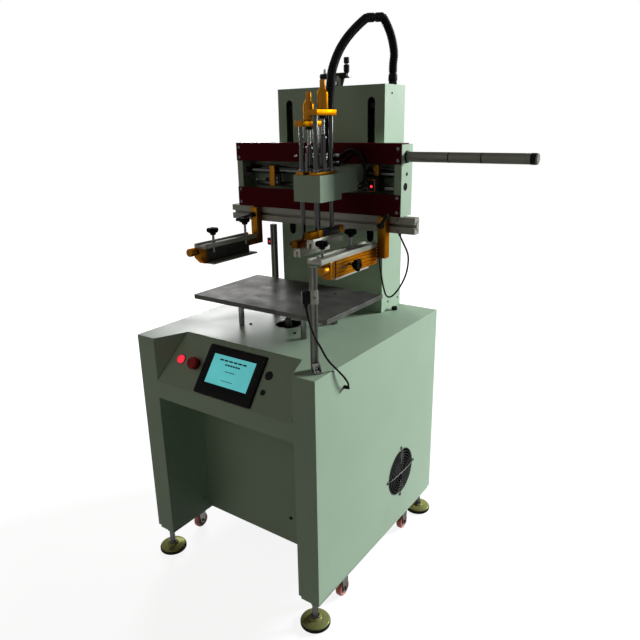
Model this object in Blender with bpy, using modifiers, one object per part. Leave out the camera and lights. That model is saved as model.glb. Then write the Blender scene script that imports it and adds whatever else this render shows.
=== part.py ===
"""Flat-bed screen printing machine on a sheet-metal cabinet.

Metres, +Z up, +Y towards the back. The floor is z = 0, and the origin lies under the middle of the
machine's overall box. Sizes below are written from the middle of the cabinet, and everything moves
by ORIGIN_X at the end.
"""
import math

import bmesh
import bpy
from mathutils import Matrix, Vector

# Clearances and section counts shared by the whole machine
SEAT = 0.0003
RUN = 0.0006
OVERRUN = 0.002
SHEET = 0.003
SMOOTH_ANGLE = math.radians(40)
FINE_SIDES = 12
ROUTE_STEPS = 40
ROUND_SIDES = 16
LARGE_SIDES = 24

# Cabinet
CABINET_WIDTH = 0.600
CABINET_DEPTH = 0.650
CABINET_BASE = 0.088
CABINET_TOP = 0.705
LEG_WIDTH = 0.064
RECESS_DEPTH = 0.158
RECESS_TOP = 0.530
CONSOLE_SET_BACK = 0.093
CONSOLE_DROP = 0.125
CONSOLE_FRONT_HALF = 0.235
CONSOLE_BACK_HALF = 0.197
CONSOLE_OPENING_HALF = 0.190
CONSOLE_OPENING_MARGIN = 0.008
BACK_MARGIN = 0.035
TOP_HOLE_RADIUS = 0.037

# Frame under the cabinet, casters and levelling feet
RAIL_WIDTH = 0.056
RAIL_HEIGHT = 0.012
RAIL_INSET = 0.004
BACK_RAIL_WIDTH = 0.062
CASTER_SIDE_INSET = 0.025
CASTER_END_INSET = 0.147
WHEEL_RADIUS = 0.024
WHEEL_WIDTH = 0.018
WHEEL_LIFT = 0.002
WHEEL_CROWN = 0.003
AXLE_RADIUS = 0.004
FORK_THICKNESS = 0.0025
FORK_HALF_LENGTH = 0.012
FORK_DROP = 0.006
FOOT_SIDE_INSET = 0.029
FOOT_END_INSET = 0.023
FOOT_RADIUS = 0.040
FOOT_RIM = 0.010
FOOT_SHOULDER = 0.028
FOOT_HEIGHT = 0.018
FOOT_STEM_RADIUS = 0.008
FOOT_NUT_RADIUS = 0.0125
FOOT_NUT_HEIGHT = 0.008
FOOT_STEM_SHORT = 0.001

# Console
PANEL_EDGE = 0.0015
PANEL_MARGIN = 0.004
SCREEN_X = 0.005
SCREEN_UP = 0.071
BEZEL_WIDTH = 0.194
BEZEL_HEIGHT = 0.136
BEZEL_THICKNESS = 0.006
BEZEL_ROUND = 0.002
SCREEN_BODY_MARGIN = 0.007
SCREEN_BODY_DEPTH = 0.035
SCREEN_FIT = 0.001
GLASS_WIDTH = 0.143
GLASS_HEIGHT = 0.080
GLASS_UP = 0.005
GLASS_DEPTH = 0.001
START_X = -0.178
START_UP = 0.076
START_RADIUS = 0.0115
START_PROUD = 0.007
START_BODY = 0.020
STOP_X = -0.122
STOP_UP = 0.0735
STOP_RADIUS = 0.0175
STOP_STEM_RADIUS = 0.009
STOP_CAP_LOW = 0.010
STOP_CAP_HIGH = 0.022
STOP_CAP_EDGE = 0.017
STOP_BODY = 0.030
PLUG_X = 0.122
PLUG_HIGH = 0.0956
PLUG_LOW = 0.0514
PLUG_HIGH_RADIUS = 0.010
PLUG_LOW_RADIUS = 0.006

# Worktable
TABLE_WIDTH = 0.458
TABLE_DEPTH = 0.279
TABLE_THICKNESS = 0.0125
TABLE_RISE = 0.089
TABLE_Y = -0.030
POST_RADIUS = 0.008
POST_X = 0.110
POST_SPREAD = 0.076
SUBPLATE_MARGIN = 0.030
SUBPLATE_THICKNESS = 0.006
TABLE_SCREW_RADIUS = 0.006
TABLE_SCREW_DEPTH = 0.0015

# Fan on the cabinet's right side
FAN_Y = 0.110
FAN_Z = 0.252
FAN_OPENING_RADIUS = 0.0725
FAN_HOLE_RADIUS = 0.068
FAN_FRAME_HALF = 0.0725
FAN_FRAME_DEPTH = 0.026
FAN_MOUNT_RADIUS = 0.080
FAN_MOUNT_HOLE = 0.0030
FAN_SCREW_RADIUS = 0.0022
FAN_EAR_RADIUS = 0.005
FAN_WIRE = 0.0024
FAN_RINGS = 9
FAN_RING_FIRST = 0.0085
FAN_RING_PITCH = 0.0078
FAN_WIRE_STEP = 0.001
FAN_HUB_RADIUS = 0.020
FAN_HUB_DEPTH = 0.017
FAN_MOTOR_DEPTH = 0.003
FAN_STRUT_WIDTH = 0.005
FAN_BLADES = 5
FAN_BLADE_TIP = 0.063
FAN_BLADE_WIDTH = 0.018
FAN_BLADE_THICKNESS = 0.002
FAN_BLADE_PITCH = math.radians(35)

# Rear door
DOOR_LAP = 0.010
DOOR_THICKNESS = 0.003
DOOR_KNUCKLE_RADIUS = 0.004
DOOR_KNUCKLE_LENGTH = 0.050
DOOR_KNUCKLE_INSET = 0.080
DOOR_HANDLE_RADIUS = 0.012
DOOR_HANDLE_PROUD = 0.006
DOOR_HANDLE_INSET = 0.040

# Column
# Every depth from here to the posts is measured from the print line, this far in front of the column
THROAT = 0.207
COLUMN_X = -0.013
COLUMN_WIDTH = 0.370
COLUMN_DEPTH = 0.118
COLUMN_TOP = 1.353
SLOT_SPREAD = 0.1425
SLOT_WIDTH = 0.024
SLOT_LOW = 0.917
SLOT_TOP_MARGIN = 0.032
SLOT_ARC_STEPS = 6
GLAND_X = 0.154
GLAND_BACK_INSET = 0.042
GLAND_RADIUS = 0.0128
GLAND_HEIGHT = 0.029
GLAND_STEM_RADIUS = 0.009
GLAND_FLANGE = 0.004

# Lift inside the column
GUIDE_SPREAD = 0.100
GUIDE_RADIUS = 0.010
GUIDE_SET_BACK = 0.058
GUIDE_BASE_SIDE_INSET = 0.009
GUIDE_BASE_FRONT_INSET = 0.011
GUIDE_BASE_BACK_INSET = 0.020
GUIDE_BASE_THICKNESS = 0.012
GUIDE_TOP_THICKNESS = 0.014
GUIDE_TOP_DROP = 0.047
LIFT_BARREL_RADIUS = 0.024
LIFT_BARREL_LOW = 1.180
LIFT_BORE_RADIUS = 0.019
LIFT_END_WALL = 0.010
LIFT_NECK_RADIUS = 0.010
LIFT_ROD_RADIUS = 0.007
LIFT_PISTON_HEIGHT = 0.016
LIFT_PISTON_DROP = 0.023
PORT_LEFT = -0.078
PORT_RIGHT = 0.024
PORT_RISE = 0.024
PORT_HEIGHT = 0.016
PORT_HALF_DEPTH = 0.009
VALVE_X = 0.012
VALVE_RADIUS = 0.009
VALVE_RISE = 0.081
CROSSHEAD_LOW = 1.060
CROSSHEAD_HIGH = 1.140
CROSSHEAD_SIDE_INSET = 0.013
CROSSHEAD_SET_BACK = 0.015
CROSSHEAD_THICKNESS = 0.014
BUSH_HALF_WIDTH = 0.018
BUSH_WALL = 0.015
TONGUE_HALF_WIDTH = 0.009
TONGUE_MARGIN = 0.010

# Print head frame
HEAD_X = -0.013
HEAD_HALF_WIDTH = 0.286
HEAD_FRONT = 0.117
HEAD_BACK = 0.182
HEAD_LOW = 1.010
HEAD_HIGH = 1.201
UPPER_COVER_LOW = 1.148
UPPER_COVER_RETURN = 0.160
LOWER_COVER_TOP = 1.0685
COVER_SIDE_MARGIN = 0.001
FLANGE_WIDTH = 0.021
SHAFT_Y = 0.146
SHAFT_Z = 1.120
SHAFT_RADIUS = 0.008
SHAFT_BACK_Y = 0.166
SHAFT_BACK_Z = 1.130
SHAFT_BACK_RADIUS = 0.005
SHAFT_BITE = 0.001
END_SLOT_Z = 1.089
END_SLOT_HALF_WIDTH = 0.004
END_SLOT_HALF_HEIGHT = 0.008

# Clamp beam
BEAM_LEFT = -0.336
BEAM_RIGHT = 0.313
BEAM_FRONT = 0.126
BEAM_DEPTH = 0.026
BEAM_HEIGHT = 0.044
BEAM_SLOT_MOUTH = 0.008
BEAM_SLOT_LIP = 0.005
BEAM_SLOT_HEIGHT = 0.020
BEAM_SLOT_DEPTH = 0.012

# Stroke cylinder
STROKE_Y = 0.150
STROKE_Z = 1.166
STROKE_END = 0.612
STROKE_RADIUS = 0.013
STROKE_BORE_RADIUS = 0.010
STROKE_WALL = 0.006
STROKE_CAP = 0.027
STROKE_RING_RADIUS = 0.0138
STROKE_RING = 0.014
STROKE_ROD_RADIUS = 0.004
STROKE_ROD_END = 0.590
STROKE_PISTON_LENGTH = 0.012
STROKE_ROD_HOLE = 0.0055

# Stops on the shaft
STOP_BLOCK_FRONT = 0.126
STOP_BLOCK_BACK = 0.1585
LEFT_STOP_LEFT = -0.176
LEFT_STOP_RIGHT = -0.158
LEFT_STOP_LOW = 1.075
LEFT_STOP_HIGH = 1.1345
LEFT_SENSOR_RIGHT = -0.134
LEFT_THUMB_LEFT = -0.204
RIGHT_STOP_LEFT = 0.184
RIGHT_STOP_RIGHT = 0.200
RIGHT_STOP_HIGH = 1.144
RIGHT_SENSOR_LEFT = 0.167
RIGHT_SENSOR_HIGH = 1.108
STOP_SENSOR_DEPTH = 0.016
THUMB_RADIUS = 0.006

# Carriage
CARRIAGE_LEFT = 0.069
CARRIAGE_RIGHT = 0.151
CARRIAGE_FRONT = -0.078
CARRIAGE_LOW = 1.063
CARRIAGE_TOP = 1.129
CARRIAGE_BACK_TOP = 1.141
CARRIAGE_RISE_Y = 0.000
CARRIAGE_STEP_Y = 0.020
CARRIAGE_STEP_Z = 1.078
BLOCK_INSET = 0.003
BLOCK_FRONT = 0.125
BLOCK_BACK = 0.176
BLOCK_LUG_FRONT = 0.138
BLOCK_LUG_TOP = 1.176
CONDUIT_BOSS_Y = 0.036
CONDUIT_BOSS_X = 0.100
CONDUIT_BOSS_TOP = 1.145
CONDUIT_BOSS_SINK = 0.006

# Cylinder units on the carriage, given for the raised one
FLOOD_X = 0.131
SQUEEGEE_X = 0.088
UNIT_Y = -0.032
UNIT_ROD_SPREAD = 0.034
UNIT_HALF_WIDTH = 0.012
UNIT_HALF_LENGTH = 0.046
UNIT_FOOT_HEIGHT = 0.007
UNIT_BARREL_RADIUS = 0.011
UNIT_BARREL_TOP = 1.181
UNIT_BORE_RADIUS = 0.0085
UNIT_BORE_FLOOR = 0.002
UNIT_ROD_RADIUS = 0.006
UNIT_PLATE_LOW = 1.2715
UNIT_PLATE_HEIGHT = 0.014
UNIT_NUT_RADIUS = 0.009
UNIT_NUT_HEIGHT = 0.006
UNIT_SPINDLE_RADIUS = 0.004
UNIT_COLLAR_HIGH = 1.225
UNIT_COLLAR_HEIGHT = 0.012
UNIT_COLLAR_RADIUS = 0.0085
UNIT_RAM_RADIUS = 0.0075
UNIT_RAM_LOW = 1.176
UNIT_BAR_FRONT = -0.108
UNIT_BAR_BACK = 0.047
UNIT_BAR_HALF_WIDTH = 0.009
UNIT_BAR_HEIGHT = 0.018
UNIT_BAR_LOW = 0.9733
SQUEEGEE_DROP = 0.026
KNOB_BODY_RADIUS = 0.0135
KNOB_NECK_RADIUS = 0.0072
KNOB_BODY_HEIGHT = 0.038
KNOB_SHOULDER = 0.008
KNOB_HEIGHT = 0.069
KNOB_CHAMFER = 0.0015
HOLDER_HALF_WIDTH = 0.011
HOLDER_FRONT = -0.097
HOLDER_BACK = 0.040
HOLDER_HEIGHT = 0.025
HOLDER_SLOT_HALF = 0.004
HOLDER_SLOT_DEPTH = 0.014
CLAMP_KNOB_RADIUS = 0.006
CLAMP_KNOB_LENGTH = 0.014
CLAMP_KNOB_CHAMFER = 0.001
CLAMP_KNOB_Y = -0.092

# Screen arms; the left one is the right one mirrored in the cabinet's middle plane
ARM_INNER = 0.1715
ARM_OUTER = 0.2145
ARM_FRONT = -0.168
ARM_DROP = 0.025
ARM_CHANNEL_HEIGHT = 0.012
ARM_CHANNEL_LIP = 0.007
ARM_CHANNEL_GROOVE = 0.004
ARM_CHANNEL_BACK = {"right": 0.100, "left": 0.051}
ARM_WEB_THICKNESS = 0.0125
ARM_WEB_DROP = 0.057
ARM_RIBS = 5
ARM_RIB_DEPTH = 0.0025
ARM_RIB_SHARE = 0.5
ARM_LIP_DROP = {"right": 0.006, "left": 0.003}
ARM_LIP_LAP = 0.002
ARM_LIP_FRONT = -0.140
ARM_LIP_BACK = {"right": 0.060, "left": 0.0475}
WEB_FRONT = {"right": -0.103, "left": -0.144}
WEB_BACK = {"right": 0.102, "left": 0.046}
ARM_LINK_LAP = 0.016
BLOCK_LENGTH = 0.027
BLOCK_NOSE = {"right": 0, "left": 0.018}
BLOCK_INNER = 0.1905
BRACKET_INNER = 0.2135
BRACKET_OUTER = 0.238
BRACKET_FRONT = 0.101
BRACKET_DROP = 0.043
BRACKET_TOP_GAP = 0.0003
LEVER_X = 0.2265
LEVER_HUB_RADIUS = 0.008
LEVER_HUB_LENGTH = 0.014
LEVER_STUD_RADIUS = 0.0035
LEVER_HEAD_RADIUS = 0.0065
LEVER_HEAD_LENGTH = 0.004
LEVER_HEAD_GAP = 0.0005
LEVER_LENGTH = {"right": 0.050, "left": 0.057}
LEVER_ROOT_RADIUS = 0.0035
LEVER_GRIP_RADIUS = 0.0055
LEVER_LEAN = math.radians(20)
LEVER_ANGLE = {"right": math.radians(48), "left": math.radians(200)}
SCREW_X = 0.185
FRONT_SCREW_Y = -0.122
REAR_SCREW_Y = 0.012
STAR_RADIUS = 0.016
STAR_HEIGHT = 0.010
STAR_LOBES = 5
STAR_POINTS = 20
STAR_DEPTH_SHARE = 0.22
STAR_HUB_RADIUS = 0.009
STAR_HUB_HEIGHT = 0.008
STAR_STEM_RADIUS = 0.004
SCREW_TIP_DROP = 0.029
FRONT_SCREW_RISE = {"right": 0.030, "left": 0.0335}
REAR_SCREW_RISE = {"right": 0.040, "left": 0.044}
SIDE_SCREW_X = 0.240
SIDE_SCREW_Y = -0.045
SIDE_SCREW_DROP = 0.031
SIDE_SCREW_TIP = 0.197
FINE_X = 0.205
FINE_DROP = {"right": 0.031, "left": 0.020}
FINE_RADIUS = 0.0115
FINE_LENGTH = 0.028
FINE_STEM_RADIUS = 0.004
FINE_STEM_LENGTH = 0.012
FINE_GAP = 0.001

# Posts with their sensors
FRONT_POST_SIDE_INSET = 0.0395
FRONT_POST_END_INSET = 0.0565
FRONT_POST_TURN = math.radians(-36)
FRONT_POST_HEIGHT = 0.246
FRONT_POST_HALF = 0.0075
FRONT_POST_SLOT_HALF = 0.0025
FRONT_POST_SLOT_DEPTH = 0.003
POST_BRACKET_LENGTH = 0.022
POST_BRACKET_HALF = 0.010
POST_BRACKET_THICKNESS = 0.004
POST_BRACKET_HEIGHT = 0.020
POST_BRACKET_RIB = 0.0025
SLIDER_RISE = 0.161
SLIDER_HEIGHT = 0.033
SLIDER_MARGIN = 0.0015
FRONT_SENSOR_LENGTH = 0.019
FRONT_SENSOR_HALF = 0.005
FRONT_SENSOR_RISE = 0.163
REAR_POST_X = -0.213
REAR_POST_Y = 0.180
REAR_POST_HALF = 0.008
REAR_POST_HEIGHT = 0.243
REAR_SENSOR_LENGTH = 0.017
REAR_SENSOR_RISE = 0.174
REAR_SENSOR_HEIGHT = 0.024

# Ribbed conduit: its outer size and the places that its middle line passes
CONDUIT_RADIUS = 0.012
CONDUIT_ROOT_RADIUS = 0.0102
CONDUIT_BORE_RADIUS = 0.0080
CONDUIT_STRAIGHT = 0.024
CONDUIT_BORE_POINTS = 20
CONDUIT_OUTER_RIBS = 24
CONDUIT_INNER_RIBS = 76
CONDUIT_TOP = (0.1171, 0.242, 1.5240)
CONDUIT_TOP_WAY = (-0.0325, -0.054, -0.0054)
CONDUIT_OUTER_ROUTE = ((0.1561, 0.283, 1.4380), (0.1465, 0.278, 1.4850))
CONDUIT_INNER_ROUTE = (
    (0.0840, 0.175, 1.4824), (0.0721, 0.138, 1.4403), (0.0709, 0.105, 1.3934), (0.0791, 0.082, 1.3568),
    (0.0927, 0.052, 1.2859), (0.0985, 0.040, 1.2150),
)

# Thin cables: the places that they pass, and their straight ends
CABLE_RADIUS = 0.0025
CABLE_STRAIGHT = 0.006
LOOP_POINTS = 40
LOOP_START = (0.2620, 0.140)
LOOP_END = (0.2010, 0.140)
LOOP_ROUTE = (
    (0.2720, 0.141, 0.9400), (0.2840, 0.146, 0.9114), (0.2850, 0.150, 0.8854), (0.2768, 0.155, 0.8493),
    (0.2596, 0.160, 0.8142), (0.2386, 0.163, 0.7850), (0.2220, 0.163, 0.7720), (0.2110, 0.160, 0.7790),
    (0.2045, 0.155, 0.8078), (0.2001, 0.150, 0.8437), (0.1975, 0.145, 0.8820), (0.1990, 0.141, 0.9250),
)
LEAD_POINTS = 32
LEAD_START = (-0.0501, 0.0419)
LEAD_END = (0.1220, -0.0580)
LEAD_ROUTE = (  # from the cabinet's top front right corner
    (-0.0469, 0.0410, 0.1420), (-0.0418, 0.0410, 0.1240), (-0.0342, 0.0415, 0.1040),
    (-0.0245, 0.0440, 0.0818), (-0.0150, 0.0510, 0.0580), (-0.0070, 0.0640, 0.0290),
    (0.0060, 0.0830, 0.0010), (0.0130, 0.1050, -0.0266), (0.0140, 0.1190, -0.0480),
)

HALF_WIDTH = CABINET_WIDTH / 2
FRONT = -CABINET_DEPTH / 2
BACK = CABINET_DEPTH / 2
SLOPE = math.hypot(CONSOLE_SET_BACK, CONSOLE_DROP)
SLOPE_ANGLE = math.atan2(CONSOLE_DROP, CONSOLE_SET_BACK)
CONSOLE_LOW = CABINET_TOP - CONSOLE_DROP
CASTER_X, CASTER_Y = HALF_WIDTH - CASTER_SIDE_INSET, BACK - CASTER_END_INSET
FOOT_X, FOOT_Y = HALF_WIDTH - FOOT_SIDE_INSET, BACK - FOOT_END_INSET
TABLE_TOP = CABINET_TOP + TABLE_RISE
TABLE_UNDER = TABLE_TOP - TABLE_THICKNESS
PRINT_LINE = BACK - COLUMN_DEPTH - THROAT
COLUMN_FRONT, COLUMN_BACK = THROAT, THROAT + COLUMN_DEPTH
SLOT_HIGH = COLUMN_TOP - SLOT_TOP_MARGIN
GLAND_Y = COLUMN_BACK - GLAND_BACK_INSET
GUIDE_Y = COLUMN_FRONT + GUIDE_SET_BACK
GUIDE_BASE_HALF_WIDTH = COLUMN_WIDTH / 2 - GUIDE_BASE_SIDE_INSET
GUIDE_BASE_FRONT = COLUMN_FRONT + GUIDE_BASE_FRONT_INSET
GUIDE_BASE_BACK = COLUMN_BACK - GUIDE_BASE_BACK_INSET
GUIDE_TOP_HIGH = COLUMN_TOP - GUIDE_TOP_DROP
GUIDE_TOP_LOW = GUIDE_TOP_HIGH - GUIDE_TOP_THICKNESS
LIFT_PISTON_TOP = COLUMN_TOP - LIFT_PISTON_DROP
PORT_LOW, PORT_HIGH = COLUMN_TOP + PORT_RISE, COLUMN_TOP + PORT_RISE + PORT_HEIGHT
VALVE_TOP = COLUMN_TOP + VALVE_RISE
CROSSHEAD_HALF_WIDTH = COLUMN_WIDTH / 2 - CROSSHEAD_SIDE_INSET
CROSSHEAD_FRONT = COLUMN_FRONT + CROSSHEAD_SET_BACK
BUSH_BACK = GUIDE_Y + GUIDE_RADIUS + BUSH_WALL
BEAM_TOP = HEAD_LOW
BEAM_LOW = BEAM_TOP - BEAM_HEIGHT
BEAM_SLOT_Z = BEAM_TOP - BEAM_HEIGHT / 2
ARM_TOP = BEAM_LOW - ARM_DROP
ARM_WEB_LOW = ARM_TOP - ARM_WEB_DROP
ARM_LIP_TOP = ARM_WEB_LOW + ARM_LIP_LAP
BRACKET_LOW = ARM_TOP - BRACKET_DROP
SIDE_SCREW_Z = ARM_TOP - SIDE_SCREW_DROP
FRONT_POST_X, FRONT_POST_Y = HALF_WIDTH - FRONT_POST_SIDE_INSET, FRONT + FRONT_POST_END_INSET
FRONT_POST_TOP = CABINET_TOP + FRONT_POST_HEIGHT
SLIDER_LOW, SLIDER_HIGH = CABINET_TOP + SLIDER_RISE, CABINET_TOP + SLIDER_RISE + SLIDER_HEIGHT
FRONT_SENSOR_LOW = CABINET_TOP + FRONT_SENSOR_RISE
REAR_POST_TOP = CABINET_TOP + REAR_POST_HEIGHT
REAR_SENSOR_LOW = CABINET_TOP + REAR_SENSOR_RISE
REAR_SENSOR_HIGH = REAR_SENSOR_LOW + REAR_SENSOR_HEIGHT
ORIGIN_X = (STROKE_END + BEAM_LEFT) / 2
SHAFTS = ((SHAFT_Y, SHAFT_Z, SHAFT_RADIUS), (SHAFT_BACK_Y, SHAFT_BACK_Z, SHAFT_BACK_RADIUS))
UP = Vector((0, 0, 1))

for old in list(bpy.data.objects):
    bpy.data.objects.remove(old, do_unlink=True)
parts = bpy.data.collections.new("screen_printing_machine")
cutters = bpy.data.collections.new("cutters")
bpy.context.scene.collection.children.link(parts)
bpy.context.scene.collection.children.link(cutters)


def new_object(name, data):
    """Link an object with the cutters; node() moves the finished ones to the parts."""
    obj = bpy.data.objects.new(name, data)
    cutters.objects.link(obj)
    obj.hide_render = True
    obj.display_type = "WIRE"
    return obj


def box(low, high, name="box"):
    """A box between two corners."""
    low, high = Vector(low), Vector(high)
    bm = bmesh.new()
    bmesh.ops.create_cube(bm, size=1)
    place = Matrix.Translation((low + high) / 2) @ Matrix.Diagonal((*(high - low), 1))
    bmesh.ops.transform(bm, verts=bm.verts, matrix=place)
    mesh = bpy.data.meshes.new(name)
    bm.to_mesh(mesh)
    bm.free()
    return new_object(name, mesh)


def rod(start, end, radius, sides=FINE_SIDES, end_radius=None, name="rod"):
    """A round bar, or a cone where end_radius differs, between two points."""
    start, end = Vector(start), Vector(end)
    along = end - start
    bm = bmesh.new()
    bmesh.ops.create_cone(bm, cap_ends=True, segments=sides, radius1=radius,
                          radius2=radius if end_radius is None else end_radius, depth=along.length)
    turn = UP.rotation_difference(along).to_matrix().to_4x4()
    bmesh.ops.transform(bm, verts=bm.verts, matrix=Matrix.Translation((start + end) / 2) @ turn)
    mesh = bpy.data.meshes.new(name)
    bm.to_mesh(mesh)
    bm.free()
    return new_object(name, mesh)


def turned(profile, base, direction=UP, sides=ROUND_SIDES, name="turned"):
    """A solid of revolution: (radius, height) pairs run from its top down its outer side, and may close."""
    mesh = bpy.data.meshes.new(name)
    closed = profile[0] == profile[-1]
    places = profile[:-1] if closed else profile
    mesh.from_pydata([(radius, 0, height) for radius, height in places],
                     [(i, (i + 1) % len(places)) for i in range(len(profile) - 1)], [])
    obj = new_object(name, mesh)
    obj.location = base
    obj.rotation_euler = UP.rotation_difference(Vector(direction)).to_euler()
    screw = obj.modifiers.new("turn", "SCREW")
    screw.steps = screw.render_steps = sides
    screw.use_merge_vertices = True
    screw.merge_threshold = OVERRUN / 1000
    return obj


def ring(outer, inner, low, high, base, direction=UP, sides=ROUND_SIDES, name="ring"):
    """A flat ring as a turned solid with a closed rectangular section."""
    obj = turned([(inner, high), (outer, high), (outer, low), (inner, low), (inner, high)],
                 base, direction, sides, name)
    return obj


def as_mesh(curve_object, name):
    """Turn a curve object into a mesh object in world space, its caps welded."""
    bpy.context.view_layer.update()
    graph = bpy.context.evaluated_depsgraph_get()
    mesh = bpy.data.meshes.new_from_object(curve_object.evaluated_get(graph))
    mesh.transform(curve_object.matrix_world)
    bm = bmesh.new()
    bm.from_mesh(mesh)
    bmesh.ops.remove_doubles(bm, verts=bm.verts, dist=OVERRUN / 1000)
    bm.to_mesh(mesh)
    bm.free()
    bpy.data.objects.remove(curve_object, do_unlink=True)
    return new_object(name, mesh)


def prism(outline, axis, low, high, name="prism"):
    """An outline filled from low to high along an axis: (y, z) for X, (x, z) for Y, (x, y) for Z."""
    curve = bpy.data.curves.new(name, "CURVE")
    curve.dimensions = "2D"
    curve.fill_mode = "BOTH"
    curve.extrude = (high - low) / 2
    spline = curve.splines.new("POLY")
    spline.points.add(len(outline) - 1)
    for point, place in zip(spline.points, outline):
        point.co = (place[0], place[1], 0, 1)
    spline.use_cyclic_u = True
    obj = new_object(name, curve)
    middle = (low + high) / 2
    if axis == "X":
        obj.matrix_world = Matrix(((0, 0, 1, middle), (1, 0, 0, 0), (0, 1, 0, 0), (0, 0, 0, 1)))
    elif axis == "Y":
        obj.matrix_world = Matrix(((1, 0, 0, 0), (0, 0, -1, middle), (0, 1, 0, 0), (0, 0, 0, 1)))
    else:
        obj.matrix_world = Matrix.Translation((0, 0, middle))
    return as_mesh(obj, name)


def tube(points, radii, resolution=2, name="tube"):
    """A round tube along points, with a radius at each one."""
    curve = bpy.data.curves.new(name, "CURVE")
    curve.dimensions = "3D"
    curve.use_fill_caps = True
    curve.bevel_depth = max(radii)
    curve.bevel_resolution = resolution
    spline = curve.splines.new("POLY")
    spline.points.add(len(points) - 1)
    for point, place, radius in zip(spline.points, points, radii):
        point.co = (*place, 1)
        point.radius = radius / max(radii)
    return as_mesh(new_object(name, curve), name)


def boolean(target, tools, operation):
    for tool in tools:
        step = target.modifiers.new(operation.lower(), "BOOLEAN")
        step.operation = operation
        step.solver = "EXACT"
        step.object = tool
    return target


def join(target, *tools):
    return boolean(target, tools, "UNION")


def cut(target, *tools):
    return boolean(target, tools, "DIFFERENCE")


def node(name, obj, colour, metallic, roughness, pivot=None):
    """Make a shape one of the machine's named pieces, with its origin on its joint's axis."""
    obj.name = obj.data.name = name
    cutters.objects.unlink(obj)
    parts.objects.link(obj)
    obj.hide_render = False
    obj.display_type = "TEXTURED"
    if pivot is not None:
        obj.data.transform(Matrix.Translation(-Vector(pivot)))
        obj.location = pivot
    material = bpy.data.materials.new(name)
    material.use_nodes = True
    shader = material.node_tree.nodes["Principled BSDF"]
    shader.inputs["Base Color"].default_value = (*colour, 1)
    shader.inputs["Metallic"].default_value = metallic
    shader.inputs["Roughness"].default_value = roughness
    obj.data.materials.append(material)
    if obj.data.polygons:
        obj.data.shade_smooth()
        obj.data.set_sharp_from_angle(angle=SMOOTH_ANGLE)
    return obj


def slope_point(across, up, out):
    """A place on the sloping console: across it, up it from its lower edge, and out from its face."""
    return Vector((across, FRONT + up * math.cos(SLOPE_ANGLE) - out * math.sin(SLOPE_ANGLE),
                   CONSOLE_LOW + up * math.sin(SLOPE_ANGLE) + out * math.cos(SLOPE_ANGLE)))


def tilt(obj):
    """Lay a shape that was drawn flat, x across and y up the slope, on the console."""
    obj.data.transform(Matrix.Translation((0, FRONT, CONSOLE_LOW)) @ Matrix.Rotation(SLOPE_ANGLE, 4, "X"))
    return obj


def smooth_route(route, count):
    """Points spaced evenly along a smooth curve through the route, whose two end legs stay straight."""
    route = [Vector(place) for place in route]
    fine = []
    for a, b, c, d in zip(route, route[1:], route[2:], route[3:]):
        for i in range(ROUTE_STEPS):
            t = i / ROUTE_STEPS
            fine.append((2 * b + (c - a) * t + (2 * a - 5 * b + 4 * c - d) * t ** 2
                         + (3 * b - a - 3 * c + d) * t ** 3) / 2)
    fine.append(route[-2])
    lengths = [0]
    for a, b in zip(fine, fine[1:]):
        lengths.append(lengths[-1] + (b - a).length)
    points, k = [route[0]], 0
    for i in range(count):
        want = lengths[-1] * i / (count - 1)
        while k < len(fine) - 2 and lengths[k + 1] < want:
            k += 1
        share = (want - lengths[k]) / (lengths[k + 1] - lengths[k])
        points.append(fine[k].lerp(fine[k + 1], min(share, 1)))
    return [*points, route[-1]]


GREEN = (0.42, 0.50, 0.40)
MAROON = (0.16, 0.012, 0.020)
GOLD = (0.62, 0.36, 0.06)
SILVER = (0.62, 0.64, 0.62)
DARK_STEEL = (0.16, 0.17, 0.16)
BLACK = (0.012, 0.012, 0.014)
RED = (0.62, 0.02, 0.03)
SLOPE_NORMAL = Vector((0, -math.sin(SLOPE_ANGLE), math.cos(SLOPE_ANGLE)))
START = slope_point(START_X, START_UP, 0)
STOP = slope_point(STOP_X, STOP_UP, 0)
FAN = Vector((HALF_WIDTH, FAN_Y, FAN_Z))


def cheek_half(up):
    """Half the console's width between its splayed cheeks, at a height up the slope."""
    return CONSOLE_FRONT_HALF - (CONSOLE_FRONT_HALF - CONSOLE_BACK_HALF) * up / SLOPE


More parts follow.
